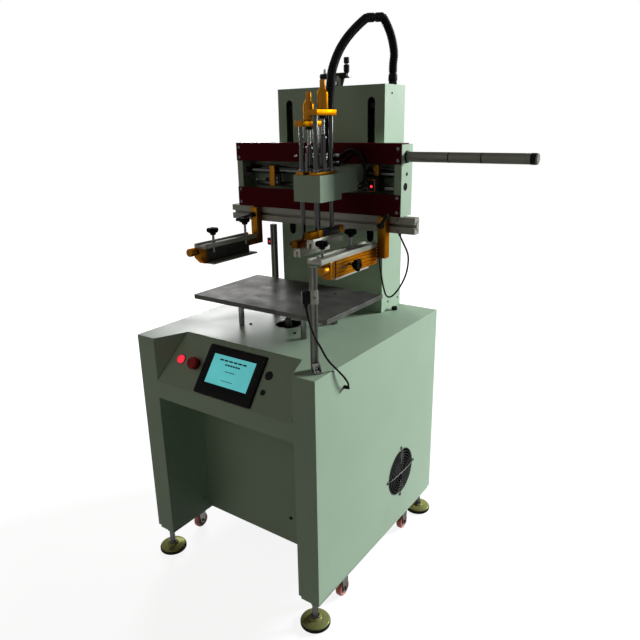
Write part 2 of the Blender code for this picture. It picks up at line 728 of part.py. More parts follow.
def build_cabinet():
    inner = HALF_WIDTH - SHEET
    floor, ceiling = CABINET_BASE + SHEET, CABINET_TOP - SHEET
    recess_back = FRONT + RECESS_DEPTH
    shell = box((-HALF_WIDTH, FRONT, CABINET_BASE), (HALF_WIDTH, BACK, CABINET_TOP))
    main = box((-inner, recess_back + SHEET, floor), (inner, BACK - SHEET, ceiling))
    over = box((-inner, FRONT + SHEET, RECESS_TOP + SHEET),
               (inner, recess_back + SHEET + OVERRUN, CONSOLE_LOW - 2 * SHEET))
    side_inner = HALF_WIDTH - LEG_WIDTH + SHEET
    sides = [box((min(s * side_inner, s * inner), FRONT + SHEET, floor),
                 (max(s * side_inner, s * inner), recess_back + SHEET + OVERRUN, ceiling)) for s in (-1, 1)]
    half = HALF_WIDTH - LEG_WIDTH
    recess = box((-half, FRONT - OVERRUN, CABINET_BASE - OVERRUN), (half, recess_back, RECESS_TOP))
    wall_low = slope_point(0, 0, -SHEET)
    wall_rise = math.tan(SLOPE_ANGLE)
    low_y = FRONT + SHEET
    behind = prism([(low_y, CONSOLE_LOW - 4 * SHEET), (low_y, wall_low.z + (low_y - wall_low.y) * wall_rise),
                    (wall_low.y + (ceiling - wall_low.z) / wall_rise, ceiling),
                    (recess_back + SHEET + OVERRUN, ceiling),
                    (recess_back + SHEET + OVERRUN, CONSOLE_LOW - 4 * SHEET)],
                   "X", -CONSOLE_OPENING_HALF - OVERRUN, CONSOLE_OPENING_HALF + OVERRUN)
    splay = (CONSOLE_FRONT_HALF - CONSOLE_BACK_HALF) / CONSOLE_SET_BACK
    front_half, back_half = CONSOLE_FRONT_HALF + splay * OVERRUN, CONSOLE_BACK_HALF
    notch = prism([(-front_half, FRONT - OVERRUN), (front_half, FRONT - OVERRUN),
                   (back_half, FRONT + CONSOLE_SET_BACK), (-back_half, FRONT + CONSOLE_SET_BACK)],
                  "Z", CONSOLE_LOW, CABINET_TOP + OVERRUN)
    under = tilt(box((-HALF_WIDTH, -SLOPE, -SLOPE), (HALF_WIDTH, 2 * SLOPE, 0)))
    cut(notch, under)
    opening = tilt(box((-CONSOLE_OPENING_HALF, CONSOLE_OPENING_MARGIN, -3 * SHEET),
                       (CONSOLE_OPENING_HALF, SLOPE - CONSOLE_OPENING_MARGIN, SHEET)))
    door_half = HALF_WIDTH - BACK_MARGIN
    rear = box((-door_half, BACK - 2 * SHEET, CABINET_BASE + BACK_MARGIN),
               (door_half, BACK + OVERRUN, CABINET_TOP - BACK_MARGIN))
    middle = PRINT_LINE + TABLE_Y
    hole = rod((0, middle, ceiling - OVERRUN), (0, middle, CABINET_TOP + OVERRUN), TOP_HOLE_RADIUS,
               LARGE_SIDES)
    side = Vector((2 * SHEET, 0, 0))
    fan_cuts = [rod(FAN - side, FAN + side, FAN_OPENING_RADIUS, LARGE_SIDES)]
    for y, z in ((1, 0), (0, 1), (-1, 0), (0, -1)):
        place = FAN + Vector((0, y, z)) * FAN_MOUNT_RADIUS
        fan_cuts.append(rod(place - side, place + side, FAN_MOUNT_HOLE))
    cut(shell, main, over, *sides, behind, recess, notch, opening, rear, hole, *fan_cuts)
    node("cabinet", shell, GREEN, 0.0, 0.45)


def build_underframe():
    low, high = CABINET_BASE - SEAT - RAIL_HEIGHT, CABINET_BASE - SEAT
    outer, inner = HALF_WIDTH - RAIL_INSET, HALF_WIDTH - RAIL_INSET - RAIL_WIDTH
    front, back = FRONT + RAIL_INSET, BACK - RAIL_INSET
    frame = prism([(-outer, front), (-inner, front), (-inner, back - BACK_RAIL_WIDTH),
                   (inner, back - BACK_RAIL_WIDTH), (inner, front), (outer, front), (outer, back),
                   (-outer, back)], "Z", low, high)
    axle_z = WHEEL_RADIUS + WHEEL_LIFT
    cheek_in = WHEEL_WIDTH / 2 + SEAT
    cheek_out = cheek_in + FORK_THICKNESS
    for sx in (-1, 1):
        for sy in (-1, 1):
            x, y = sx * CASTER_X, sy * CASTER_Y
            for near, far in ((-cheek_out, -cheek_in), (cheek_in, cheek_out)):
                join(frame, box((x + near, y - FORK_HALF_LENGTH, axle_z - FORK_DROP),
                                (x + far, y + FORK_HALF_LENGTH, low + OVERRUN)))
            reach = cheek_out - SEAT
            join(frame, rod((x - reach, y, axle_z), (x + reach, y, axle_z), AXLE_RADIUS))
    for sx in (-1, 1):
        for sy in (-1, 1):
            place = Vector((sx * FOOT_X, sy * FOOT_Y, 0))
            cut(frame, rod(place + UP * (low - OVERRUN), place + UP * (high + OVERRUN),
                           FOOT_STEM_RADIUS + RUN))
    node("base_frame", frame, DARK_STEEL, 0.6, 0.5)
    for front_back, sy in (("front", -1), ("rear", 1)):
        for side, sx in (("left", -1), ("right", 1)):
            half, crown = WHEEL_WIDTH / 2, WHEEL_WIDTH / 2 - WHEEL_CROWN
            bore, tread = AXLE_RADIUS + RUN, WHEEL_RADIUS - WHEEL_CROWN
            wheel = turned([(bore, half), (tread, half), (WHEEL_RADIUS, crown), (WHEEL_RADIUS, -crown),
                            (tread, -half), (bore, -half), (bore, half)],
                           (sx * CASTER_X, sy * CASTER_Y, axle_z), (1, 0, 0))
            node(f"wheel_{front_back}_{side}", wheel, RED, 0.0, 0.4)
            nut, nut_low = low - SEAT, low - SEAT - FOOT_NUT_HEIGHT
            socket = FOOT_HEIGHT + FOOT_NUT_HEIGHT
            stem_top = high - FOOT_STEM_SHORT
            foot = turned([(0, stem_top), (FOOT_STEM_RADIUS, stem_top), (FOOT_STEM_RADIUS, nut),
                           (FOOT_NUT_RADIUS, nut), (FOOT_NUT_RADIUS, nut_low), (FOOT_STEM_RADIUS, nut_low),
                           (FOOT_STEM_RADIUS, socket), (FOOT_NUT_RADIUS, socket),
                           (FOOT_NUT_RADIUS, FOOT_HEIGHT), (FOOT_SHOULDER, FOOT_HEIGHT),
                           (FOOT_RADIUS, FOOT_RIM), (FOOT_RADIUS, 0), (0, 0)],
                          (sx * FOOT_X, sy * FOOT_Y, 0), UP, FINE_SIDES)
            node(f"foot_{front_back}_{side}", foot, (0.5, 0.45, 0.28), 0.9, 0.35)


def build_console():
    low, high = SEAT, SEAT + SHEET
    low_up, high_up = PANEL_MARGIN, SLOPE - PANEL_MARGIN
    low_half, high_half = cheek_half(low_up) - PANEL_EDGE, cheek_half(high_up) - PANEL_EDGE
    panel = prism([(-low_half, low_up), (low_half, low_up), (high_half, high_up), (-high_half, high_up)],
                  "Z", low, high)
    body_half = BEZEL_WIDTH / 2 - SCREEN_BODY_MARGIN
    body_up = BEZEL_HEIGHT / 2 - SCREEN_BODY_MARGIN
    cuts = [box((SCREEN_X - body_half - SCREEN_FIT, SCREEN_UP - body_up - SCREEN_FIT, low - OVERRUN),
                (SCREEN_X + body_half + SCREEN_FIT, SCREEN_UP + body_up + SCREEN_FIT, high + OVERRUN))]
    for x, up, radius in ((START_X, START_UP, START_RADIUS + RUN), (STOP_X, STOP_UP, STOP_STEM_RADIUS + RUN),
                          (PLUG_X, PLUG_HIGH, PLUG_HIGH_RADIUS), (PLUG_X, PLUG_LOW, PLUG_LOW_RADIUS)):
        cuts.append(rod((x, up, low - OVERRUN), (x, up, high + OVERRUN), radius, ROUND_SIDES))
    for shape in (panel, *cuts):
        tilt(shape)
    cut(panel, *cuts)
    node("control_panel", panel, GREEN, 0.0, 0.45)

    face = high + SEAT
    bezel = box((SCREEN_X - BEZEL_WIDTH / 2, SCREEN_UP - BEZEL_HEIGHT / 2, face),
                (SCREEN_X + BEZEL_WIDTH / 2, SCREEN_UP + BEZEL_HEIGHT / 2, face + BEZEL_THICKNESS))
    body = box((SCREEN_X - body_half, SCREEN_UP - body_up, -SCREEN_BODY_DEPTH),
               (SCREEN_X + body_half, SCREEN_UP + body_up, face + BEZEL_THICKNESS / 2))
    glass_up = SCREEN_UP + GLASS_UP
    front = face + BEZEL_THICKNESS
    pocket = box((SCREEN_X - GLASS_WIDTH / 2, glass_up - GLASS_HEIGHT / 2, front - GLASS_DEPTH),
                 (SCREEN_X + GLASS_WIDTH / 2, glass_up + GLASS_HEIGHT / 2, front + OVERRUN))
    for shape in (bezel, body, pocket):
        tilt(shape)
    edge = bezel.modifiers.new("edge", "BEVEL")
    edge.width = BEZEL_ROUND
    edge.segments = 2
    join(bezel, body)
    cut(bezel, pocket)
    node("operator_screen", bezel, (0.30, 0.32, 0.34), 0.0, 0.4)

    start = turned([(0, high + START_PROUD), (START_RADIUS, high + START_PROUD), (START_RADIUS, -START_BODY),
                    (0, -START_BODY)], START, SLOPE_NORMAL)
    node("start_button", start, RED, 0.0, 0.3)
    stop = turned([(0, high + STOP_CAP_HIGH), (STOP_RADIUS * 2 / 3, high + STOP_CAP_HIGH),
                   (STOP_RADIUS, high + STOP_CAP_EDGE), (STOP_RADIUS, high + STOP_CAP_LOW),
                   (STOP_STEM_RADIUS, high + STOP_CAP_LOW), (STOP_STEM_RADIUS, -STOP_BODY), (0, -STOP_BODY)],
                  STOP, SLOPE_NORMAL)
    node("stop_button", stop, RED, 0.0, 0.35)


def build_table():
    low = (-TABLE_WIDTH / 2, TABLE_Y - TABLE_DEPTH / 2, TABLE_UNDER)
    table = box(low, (TABLE_WIDTH / 2, TABLE_Y + TABLE_DEPTH / 2, TABLE_TOP))
    posts = [(sx * POST_X, TABLE_Y + sy * POST_SPREAD) for sx in (-1, 1) for sy in (-1, 1)]
    for x, y in posts:
        cut(table, rod((x, y, TABLE_TOP - TABLE_SCREW_DEPTH), (x, y, TABLE_TOP + OVERRUN),
                       TABLE_SCREW_RADIUS))
    node("worktable", table, DARK_STEEL, 0.7, 0.35)
    top = TABLE_UNDER - SEAT
    half_x, half_y = POST_X + SUBPLATE_MARGIN, POST_SPREAD + SUBPLATE_MARGIN
    frame = box((-half_x, TABLE_Y - half_y, top - SUBPLATE_THICKNESS), (half_x, TABLE_Y + half_y, top))
    for x, y in posts:
        join(frame, rod((x, y, CABINET_TOP + SEAT), (x, y, top - SUBPLATE_THICKNESS / 2), POST_RADIUS))
    node("table_frame", frame, SILVER, 1.0, 0.3)


def cross(reach, half, low, high):
    """Two bars across the fan's axis, one a little in front of the other."""
    step = SEAT
    return (box((low, FAN_Y - reach, FAN_Z - half), (high, FAN_Y + reach, FAN_Z + half)),
            box((low + step, FAN_Y - half, FAN_Z - reach), (high + step, FAN_Y + half, FAN_Z + reach)))


def build_fan():
    inside = HALF_WIDTH - SHEET - SEAT
    back = inside - FAN_FRAME_DEPTH
    half = FAN_FRAME_HALF
    frame = box((back, -half, -half), (inside, half, half))
    frame.data.transform(Matrix.Translation((0, FAN_Y, FAN_Z)) @ Matrix.Rotation(math.radians(45), 4, "X"))
    centre = Vector((0, FAN_Y, FAN_Z))
    x = Vector((1, 0, 0))
    cut(frame, rod(centre + x * (back - OVERRUN), centre + x * (inside + OVERRUN), FAN_HOLE_RADIUS,
                   LARGE_SIDES))
    strut = FAN_MOTOR_DEPTH / 3
    join(frame, *cross(FAN_HOLE_RADIUS + OVERRUN, FAN_STRUT_WIDTH / 2, back + strut, back + 2 * strut),
         rod(centre + x * back, centre + x * (back + FAN_MOTOR_DEPTH), FAN_HUB_RADIUS, ROUND_SIDES))
    outside = HALF_WIDTH + SEAT
    wire_half, step = FAN_WIRE / 2, FAN_WIRE_STEP
    ears = []
    for y, z in ((1, 0), (0, 1), (-1, 0), (0, -1)):
        place = centre + Vector((0, y, z)) * FAN_MOUNT_RADIUS
        ears.append(rod(place + x * (back + FAN_FRAME_DEPTH / 2), place + x * (outside + wire_half),
                        FAN_SCREW_RADIUS))
        ears.append(rod(place + x * outside, place + x * (outside + FAN_WIRE + 2 * step), FAN_EAR_RADIUS))
    rings = []
    for i in range(FAN_RINGS):
        radius = FAN_RING_FIRST + i * FAN_RING_PITCH
        rings.append(ring(radius + wire_half, radius - wire_half, 2 * step, 2 * step + FAN_WIRE,
                          (outside, FAN_Y, FAN_Z), (1, 0, 0), FINE_SIDES))
    join(frame, *ears, *rings,
         *cross(FAN_MOUNT_RADIUS, wire_half, outside + step / 2, outside + step / 2 + FAN_WIRE))
    node("fan_frame", frame, SILVER, 1.0, 0.25)

    front = back + FAN_MOTOR_DEPTH + SEAT
    middle = front + FAN_HUB_DEPTH / 2
    rotor = rod(centre + x * front, centre + x * (front + FAN_HUB_DEPTH), FAN_HUB_RADIUS, ROUND_SIDES)
    for i in range(FAN_BLADES):
        blade = box((-FAN_BLADE_WIDTH / 2, -FAN_BLADE_THICKNESS / 2, FAN_HUB_RADIUS / 2),
                    (FAN_BLADE_WIDTH / 2, FAN_BLADE_THICKNESS / 2, FAN_BLADE_TIP))
        blade.data.transform(Matrix.Translation((middle, FAN_Y, FAN_Z))
                             @ Matrix.Rotation(math.tau * i / FAN_BLADES, 4, "X")
                             @ Matrix.Rotation(FAN_BLADE_PITCH, 4, "Z"))
        join(rotor, blade)
    node("fan_rotor", rotor, BLACK, 0.0, 0.5, (middle, FAN_Y, FAN_Z))


def build_door():
    half = HALF_WIDTH - BACK_MARGIN + DOOR_LAP
    low, high = CABINET_BASE + BACK_MARGIN - DOOR_LAP, CABINET_TOP - BACK_MARGIN + DOOR_LAP
    face = BACK + SEAT
    door = box((-half, face, low), (half, face + DOOR_THICKNESS, high))
    pin = Vector((-half, face + DOOR_THICKNESS + DOOR_KNUCKLE_RADIUS / 2, 0))
    for z in (low + DOOR_KNUCKLE_INSET, high - DOOR_KNUCKLE_INSET - DOOR_KNUCKLE_LENGTH):
        join(door, rod(pin + UP * z, pin + UP * (z + DOOR_KNUCKLE_LENGTH), DOOR_KNUCKLE_RADIUS))
    handle = Vector((half - DOOR_HANDLE_INSET, face + DOOR_THICKNESS / 2, (low + high) / 2))
    proud = Vector((0, DOOR_THICKNESS / 2 + DOOR_HANDLE_PROUD, 0))
    join(door, rod(handle, handle + proud, DOOR_HANDLE_RADIUS))
    node("rear_door", door, GREEN, 0.0, 0.45, (pin.x, pin.y, low))


def stadium(x, low, high, width):
    """The outline of an upright slot with round ends, as (x, z) points."""
    radius = width / 2
    points = []
    for centre, start in ((high - radius, 0), (low + radius, math.pi)):
        for i in range(SLOT_ARC_STEPS + 1):
            angle = start + math.pi * i / SLOT_ARC_STEPS
            points.append((x + radius * math.cos(angle), centre + radius * math.sin(angle)))
    return points


def build_column():
    half = COLUMN_WIDTH / 2
    left, right = COLUMN_X - half, COLUMN_X + half
    column = box((left, COLUMN_FRONT, CABINET_TOP + SEAT), (right, COLUMN_BACK, COLUMN_TOP))
    inside = box((left + SHEET, COLUMN_FRONT + SHEET, CABINET_TOP - OVERRUN),
                 (right - SHEET, COLUMN_BACK - SHEET, COLUMN_TOP - SHEET))
    slots = [prism(stadium(COLUMN_X + s * SLOT_SPREAD, SLOT_LOW, SLOT_HIGH, SLOT_WIDTH), "Y",
                   COLUMN_FRONT - OVERRUN, COLUMN_FRONT + 2 * SHEET) for s in (-1, 1)]
    neck = rod((COLUMN_X, GUIDE_Y, COLUMN_TOP - 2 * SHEET), (COLUMN_X, GUIDE_Y, COLUMN_TOP + OVERRUN),
               LIFT_NECK_RADIUS + RUN)
    gland = rod((GLAND_X, GLAND_Y, COLUMN_TOP - 2 * SHEET), (GLAND_X, GLAND_Y, COLUMN_TOP + OVERRUN),
                GLAND_STEM_RADIUS + RUN)
    cut(column, inside, *slots, neck, gland)
    node("column", column, GREEN, 0.0, 0.45)
    flange = SEAT + GLAND_FLANGE
    socket = turned([(0, GLAND_HEIGHT), (GLAND_RADIUS, GLAND_HEIGHT), (GLAND_RADIUS, SEAT),
                     (GLAND_STEM_RADIUS, SEAT), (GLAND_STEM_RADIUS, -SHEET - flange), (0, -SHEET - flange)],
                    (GLAND_X, GLAND_Y, COLUMN_TOP))
    node("conduit_gland", socket, BLACK, 0.0, 0.5)


def build_lift():
    low = CABINET_TOP + SEAT
    base = box((COLUMN_X - GUIDE_BASE_HALF_WIDTH, GUIDE_BASE_FRONT, low),
               (COLUMN_X + GUIDE_BASE_HALF_WIDTH, GUIDE_BASE_BACK, low + GUIDE_BASE_THICKNESS))
    top = box((COLUMN_X - GUIDE_BASE_HALF_WIDTH, GUIDE_BASE_FRONT, GUIDE_TOP_LOW),
              (COLUMN_X + GUIDE_BASE_HALF_WIDTH, GUIDE_BASE_BACK, GUIDE_TOP_HIGH))
    guides = [rod((COLUMN_X + s * GUIDE_SPREAD, GUIDE_Y, low + GUIDE_BASE_THICKNESS / 2),
                  (COLUMN_X + s * GUIDE_SPREAD, GUIDE_Y, (GUIDE_TOP_LOW + GUIDE_TOP_HIGH) / 2), GUIDE_RADIUS,
                  ROUND_SIDES) for s in (-1, 1)]
    join(base, top, *guides)
    axis = Vector((COLUMN_X, GUIDE_Y, 0))
    cut(base, rod(axis + UP * (GUIDE_TOP_LOW - OVERRUN), axis + UP * (GUIDE_TOP_HIGH + OVERRUN),
                  LIFT_BARREL_RADIUS + RUN, ROUND_SIDES))
    node("lift_guides", base, SILVER, 1.0, 0.3)

    ceiling = COLUMN_TOP - SHEET - SEAT
    rod_hole, middle = LIFT_ROD_RADIUS + RUN, (PORT_LOW + PORT_HIGH) / 2
    floor, bore_top = LIFT_BARREL_LOW + LIFT_END_WALL, ceiling - LIFT_END_WALL
    barrel = turned([(0, middle), (LIFT_NECK_RADIUS - RUN, middle), (LIFT_NECK_RADIUS - RUN, ceiling),
                     (LIFT_BARREL_RADIUS, ceiling), (LIFT_BARREL_RADIUS, LIFT_BARREL_LOW),
                     (rod_hole, LIFT_BARREL_LOW), (rod_hole, floor), (LIFT_BORE_RADIUS, floor),
                     (LIFT_BORE_RADIUS, bore_top), (0, bore_top)], axis)
    bar = box((PORT_LEFT, GUIDE_Y - PORT_HALF_DEPTH, PORT_LOW),
              (PORT_RIGHT, GUIDE_Y + PORT_HALF_DEPTH, PORT_HIGH))
    valve = rod((VALVE_X, GUIDE_Y, middle), (VALVE_X, GUIDE_Y, VALVE_TOP), VALVE_RADIUS - RUN)
    join(barrel, bar, valve)
    node("lift_cylinder", barrel, BLACK, 0.2, 0.45)

    back = CROSSHEAD_FRONT + CROSSHEAD_THICKNESS
    head = box((COLUMN_X - CROSSHEAD_HALF_WIDTH, CROSSHEAD_FRONT, CROSSHEAD_LOW),
               (COLUMN_X + CROSSHEAD_HALF_WIDTH, back, CROSSHEAD_HIGH))
    for s in (-1, 1):
        x = COLUMN_X + s * GUIDE_SPREAD
        join(head, box((x - BUSH_HALF_WIDTH, back - OVERRUN, CROSSHEAD_LOW),
                       (x + BUSH_HALF_WIDTH, BUSH_BACK, CROSSHEAD_HIGH)))
        cut(head, rod((x, GUIDE_Y, CROSSHEAD_LOW - OVERRUN), (x, GUIDE_Y, CROSSHEAD_HIGH + OVERRUN),
                      GUIDE_RADIUS + RUN, ROUND_SIDES))
        x = COLUMN_X + s * SLOT_SPREAD
        join(head, box((x - TONGUE_HALF_WIDTH, HEAD_BACK + SEAT, CROSSHEAD_LOW + TONGUE_MARGIN),
                       (x + TONGUE_HALF_WIDTH, CROSSHEAD_FRONT + OVERRUN, CROSSHEAD_HIGH - TONGUE_MARGIN)))
    join(head, box((COLUMN_X - BUSH_HALF_WIDTH, back - OVERRUN, CROSSHEAD_HIGH - TONGUE_MARGIN),
                   (COLUMN_X + BUSH_HALF_WIDTH, BUSH_BACK, CROSSHEAD_HIGH)))
    join(head, turned([(0, LIFT_PISTON_TOP), (LIFT_BORE_RADIUS - RUN, LIFT_PISTON_TOP),
                       (LIFT_BORE_RADIUS - RUN, LIFT_PISTON_TOP - LIFT_PISTON_HEIGHT),
                       (LIFT_ROD_RADIUS, LIFT_PISTON_TOP - LIFT_PISTON_HEIGHT),
                       (LIFT_ROD_RADIUS, CROSSHEAD_HIGH - TONGUE_MARGIN / 2),
                       (0, CROSSHEAD_HIGH - TONGUE_MARGIN / 2)], (COLUMN_X, GUIDE_Y, 0)))
    node("lift_crosshead", head, SILVER, 1.0, 0.4, (COLUMN_X, GUIDE_Y, CROSSHEAD_LOW))


def build_head():
    left, right = HEAD_X - HEAD_HALF_WIDTH, HEAD_X + HEAD_HALF_WIDTH
    front = HEAD_FRONT + SHEET + SEAT
    low, high = HEAD_LOW + SEAT, HEAD_HIGH - SHEET - SEAT
    frame = box((left, front, low), (right, HEAD_BACK, high))
    hollow = box((left + SHEET, front + SHEET, low + SHEET),
                 (right - SHEET, HEAD_BACK - SHEET, high + OVERRUN))
    mouth = box((left + FLANGE_WIDTH, front - OVERRUN, low + SHEET),
                (right - FLANGE_WIDTH, front + 2 * SHEET, high + OVERRUN))
    cut(frame, hollow, mouth)
    cut(frame, rod((right - 2 * SHEET, STROKE_Y, STROKE_Z), (right + OVERRUN, STROKE_Y, STROKE_Z),
                   STROKE_ROD_HOLE))
    slot = prism([(SHAFT_Y - END_SLOT_HALF_WIDTH, END_SLOT_Z - END_SLOT_HALF_HEIGHT),
                  (SHAFT_Y + END_SLOT_HALF_WIDTH, END_SLOT_Z - END_SLOT_HALF_HEIGHT),
                  (SHAFT_Y + END_SLOT_HALF_WIDTH, END_SLOT_Z + END_SLOT_HALF_HEIGHT),
                  (SHAFT_Y - END_SLOT_HALF_WIDTH, END_SLOT_Z + END_SLOT_HALF_HEIGHT)],
                 "X", right - 2 * SHEET, right + OVERRUN)
    cut(frame, slot)
    bite = SHEET - SHAFT_BITE
    for y, z, radius in SHAFTS:
        join(frame, rod((left + bite, y, z), (right - bite, y, z), radius, ROUND_SIDES))
    node("head_frame", frame, GREEN, 0.0, 0.45, (HEAD_X, HEAD_BACK, low))

    side = COVER_SIDE_MARGIN
    upper = box((left + side, HEAD_FRONT, UPPER_COVER_LOW), (right - side, UPPER_COVER_RETURN, HEAD_HIGH))
    cut(upper, box((left - side, HEAD_FRONT + SHEET, UPPER_COVER_LOW - OVERRUN),
                   (right + side, UPPER_COVER_RETURN + OVERRUN, HEAD_HIGH - SHEET)))
    node("upper_cover", upper, MAROON, 0.0, 0.4, (HEAD_X, HEAD_FRONT, UPPER_COVER_LOW))
    lower = box((left + side, HEAD_FRONT, HEAD_LOW + side),
                (right - side, HEAD_FRONT + SHEET, LOWER_COVER_TOP))
    node("lower_cover", lower, MAROON, 0.0, 0.4, (HEAD_X, HEAD_FRONT, HEAD_LOW))

    beam = box((BEAM_LEFT, BEAM_FRONT, BEAM_LOW), (BEAM_RIGHT, BEAM_FRONT + BEAM_DEPTH, BEAM_TOP))
    mouth_half, slot_half = BEAM_SLOT_MOUTH / 2, BEAM_SLOT_HEIGHT / 2
    cut(beam, box((BEAM_LEFT - OVERRUN, BEAM_FRONT - OVERRUN, BEAM_SLOT_Z - mouth_half),
                  (BEAM_RIGHT + OVERRUN, BEAM_FRONT + BEAM_SLOT_LIP + SEAT, BEAM_SLOT_Z + mouth_half)),
        box((BEAM_LEFT - OVERRUN, BEAM_FRONT + BEAM_SLOT_LIP, BEAM_SLOT_Z - slot_half),
            (BEAM_RIGHT + OVERRUN, BEAM_FRONT + BEAM_SLOT_DEPTH, BEAM_SLOT_Z + slot_half)))
    node("clamp_beam", beam, SILVER, 1.0, 0.35, (HEAD_X, BEAM_FRONT, BEAM_LOW))

    length = STROKE_END - right - SEAT
    ring_high = length - STROKE_CAP + STROKE_RING
    barrel = turned([(0, length), (STROKE_RADIUS, length), (STROKE_RADIUS, ring_high),
                     (STROKE_RING_RADIUS, ring_high), (STROKE_RING_RADIUS, length - STROKE_CAP),
                     (STROKE_RADIUS, length - STROKE_CAP), (STROKE_RADIUS, 0), (STROKE_ROD_HOLE, 0),
                     (STROKE_ROD_HOLE, STROKE_WALL), (STROKE_BORE_RADIUS, STROKE_WALL),
                     (STROKE_BORE_RADIUS, length - STROKE_WALL), (0, length - STROKE_WALL)],
                    (right + SEAT, STROKE_Y, STROKE_Z), (1, 0, 0))
    node("stroke_cylinder", barrel, SILVER, 1.0, 0.35)


def build_stops():
    bore = SHAFT_RADIUS + RUN
    front, back, low = STOP_BLOCK_FRONT, STOP_BLOCK_BACK, LEFT_STOP_LOW
    plate = front + STOP_SENSOR_DEPTH / 2
    left = box((LEFT_STOP_LEFT, front, low), (LEFT_STOP_RIGHT, back, LEFT_STOP_HIGH))
    middle = Vector((0, front + STOP_SENSOR_DEPTH, (low + SHAFT_Z) / 2))
    x = Vector((1, 0, 0))
    join(left, box((LEFT_STOP_RIGHT - OVERRUN, front, low + OVERRUN),
                   (LEFT_SENSOR_RIGHT, plate, LEFT_STOP_HIGH - OVERRUN)),
         rod(middle + x * LEFT_THUMB_LEFT, middle + x * (LEFT_STOP_LEFT + OVERRUN), THUMB_RADIUS))
    axis = Vector((0, SHAFT_Y, SHAFT_Z))
    cut(left, rod(axis + x * (LEFT_STOP_LEFT - OVERRUN), axis + x * (LEFT_SENSOR_RIGHT + OVERRUN), bore,
                  ROUND_SIDES))
    node("left_stop", left, GOLD, 0.9, 0.35, (LEFT_STOP_RIGHT, SHAFT_Y, SHAFT_Z))
    right = box((RIGHT_STOP_LEFT, front, low), (RIGHT_STOP_RIGHT, back, RIGHT_STOP_HIGH))
    join(right, box((RIGHT_SENSOR_LEFT, front, low + OVERRUN),
                    (RIGHT_STOP_LEFT + OVERRUN, plate, RIGHT_SENSOR_HIGH)))
    cut(right, rod(axis + x * (RIGHT_SENSOR_LEFT - OVERRUN), axis + x * (RIGHT_STOP_RIGHT + OVERRUN), bore,
                   ROUND_SIDES))
    node("right_stop", right, GOLD, 0.9, 0.35, (RIGHT_STOP_LEFT, SHAFT_Y, SHAFT_Z))


def build_carriage():
    lap = BLOCK_FRONT + OVERRUN
    body = prism([(CARRIAGE_FRONT, CARRIAGE_LOW), (CARRIAGE_STEP_Y, CARRIAGE_LOW),
                  (CARRIAGE_STEP_Y, CARRIAGE_STEP_Z), (lap, CARRIAGE_STEP_Z), (lap, CARRIAGE_BACK_TOP),
                  (HEAD_FRONT, CARRIAGE_BACK_TOP), (CARRIAGE_RISE_Y, CARRIAGE_TOP),
                  (CARRIAGE_FRONT, CARRIAGE_TOP)], "X", CARRIAGE_LEFT, CARRIAGE_RIGHT)
    left, right = CARRIAGE_LEFT + BLOCK_INSET, CARRIAGE_RIGHT - BLOCK_INSET
    block = box((left, BLOCK_FRONT, CARRIAGE_STEP_Z + BLOCK_INSET),
                (right, BLOCK_BACK, CARRIAGE_BACK_TOP + BLOCK_INSET))
    lug = box((left + SEAT, BLOCK_LUG_FRONT, CARRIAGE_BACK_TOP),
              (right - SEAT, BLOCK_BACK - BLOCK_INSET, BLOCK_LUG_TOP))
    boss = rod((CONDUIT_BOSS_X, CONDUIT_BOSS_Y, CARRIAGE_TOP - CONDUIT_BOSS_SINK),
               (CONDUIT_BOSS_X, CONDUIT_BOSS_Y, CONDUIT_BOSS_TOP), GLAND_RADIUS, ROUND_SIDES)
    axis, x = Vector((0, STROKE_Y, STROKE_Z)), Vector((1, 0, 0))
    piston = STROKE_ROD_END - STROKE_PISTON_LENGTH
    join(body, block, lug, boss,
         rod(axis + x * (right - OVERRUN), axis + x * (STROKE_ROD_END - OVERRUN), STROKE_ROD_RADIUS),
         rod(axis + x * piston, axis + x * STROKE_ROD_END, STROKE_BORE_RADIUS - RUN, ROUND_SIDES))
    for y, z, radius in SHAFTS:
        cut(body, rod((left - OVERRUN, y, z), (right + OVERRUN, y, z), radius + RUN, ROUND_SIDES))
    for x in (SQUEEGEE_X, FLOOD_X):
        for s in (-1, 1):
            y = UNIT_Y + s * UNIT_ROD_SPREAD
            cut(body, rod((x, y, CARRIAGE_LOW - OVERRUN), (x, y, CARRIAGE_TOP + 2 * CONDUIT_BOSS_SINK),
                          UNIT_ROD_RADIUS + RUN))
    node("carriage", body, GREEN, 0.0, 0.45, (CARRIAGE_LEFT, SHAFT_Y, SHAFT_Z))


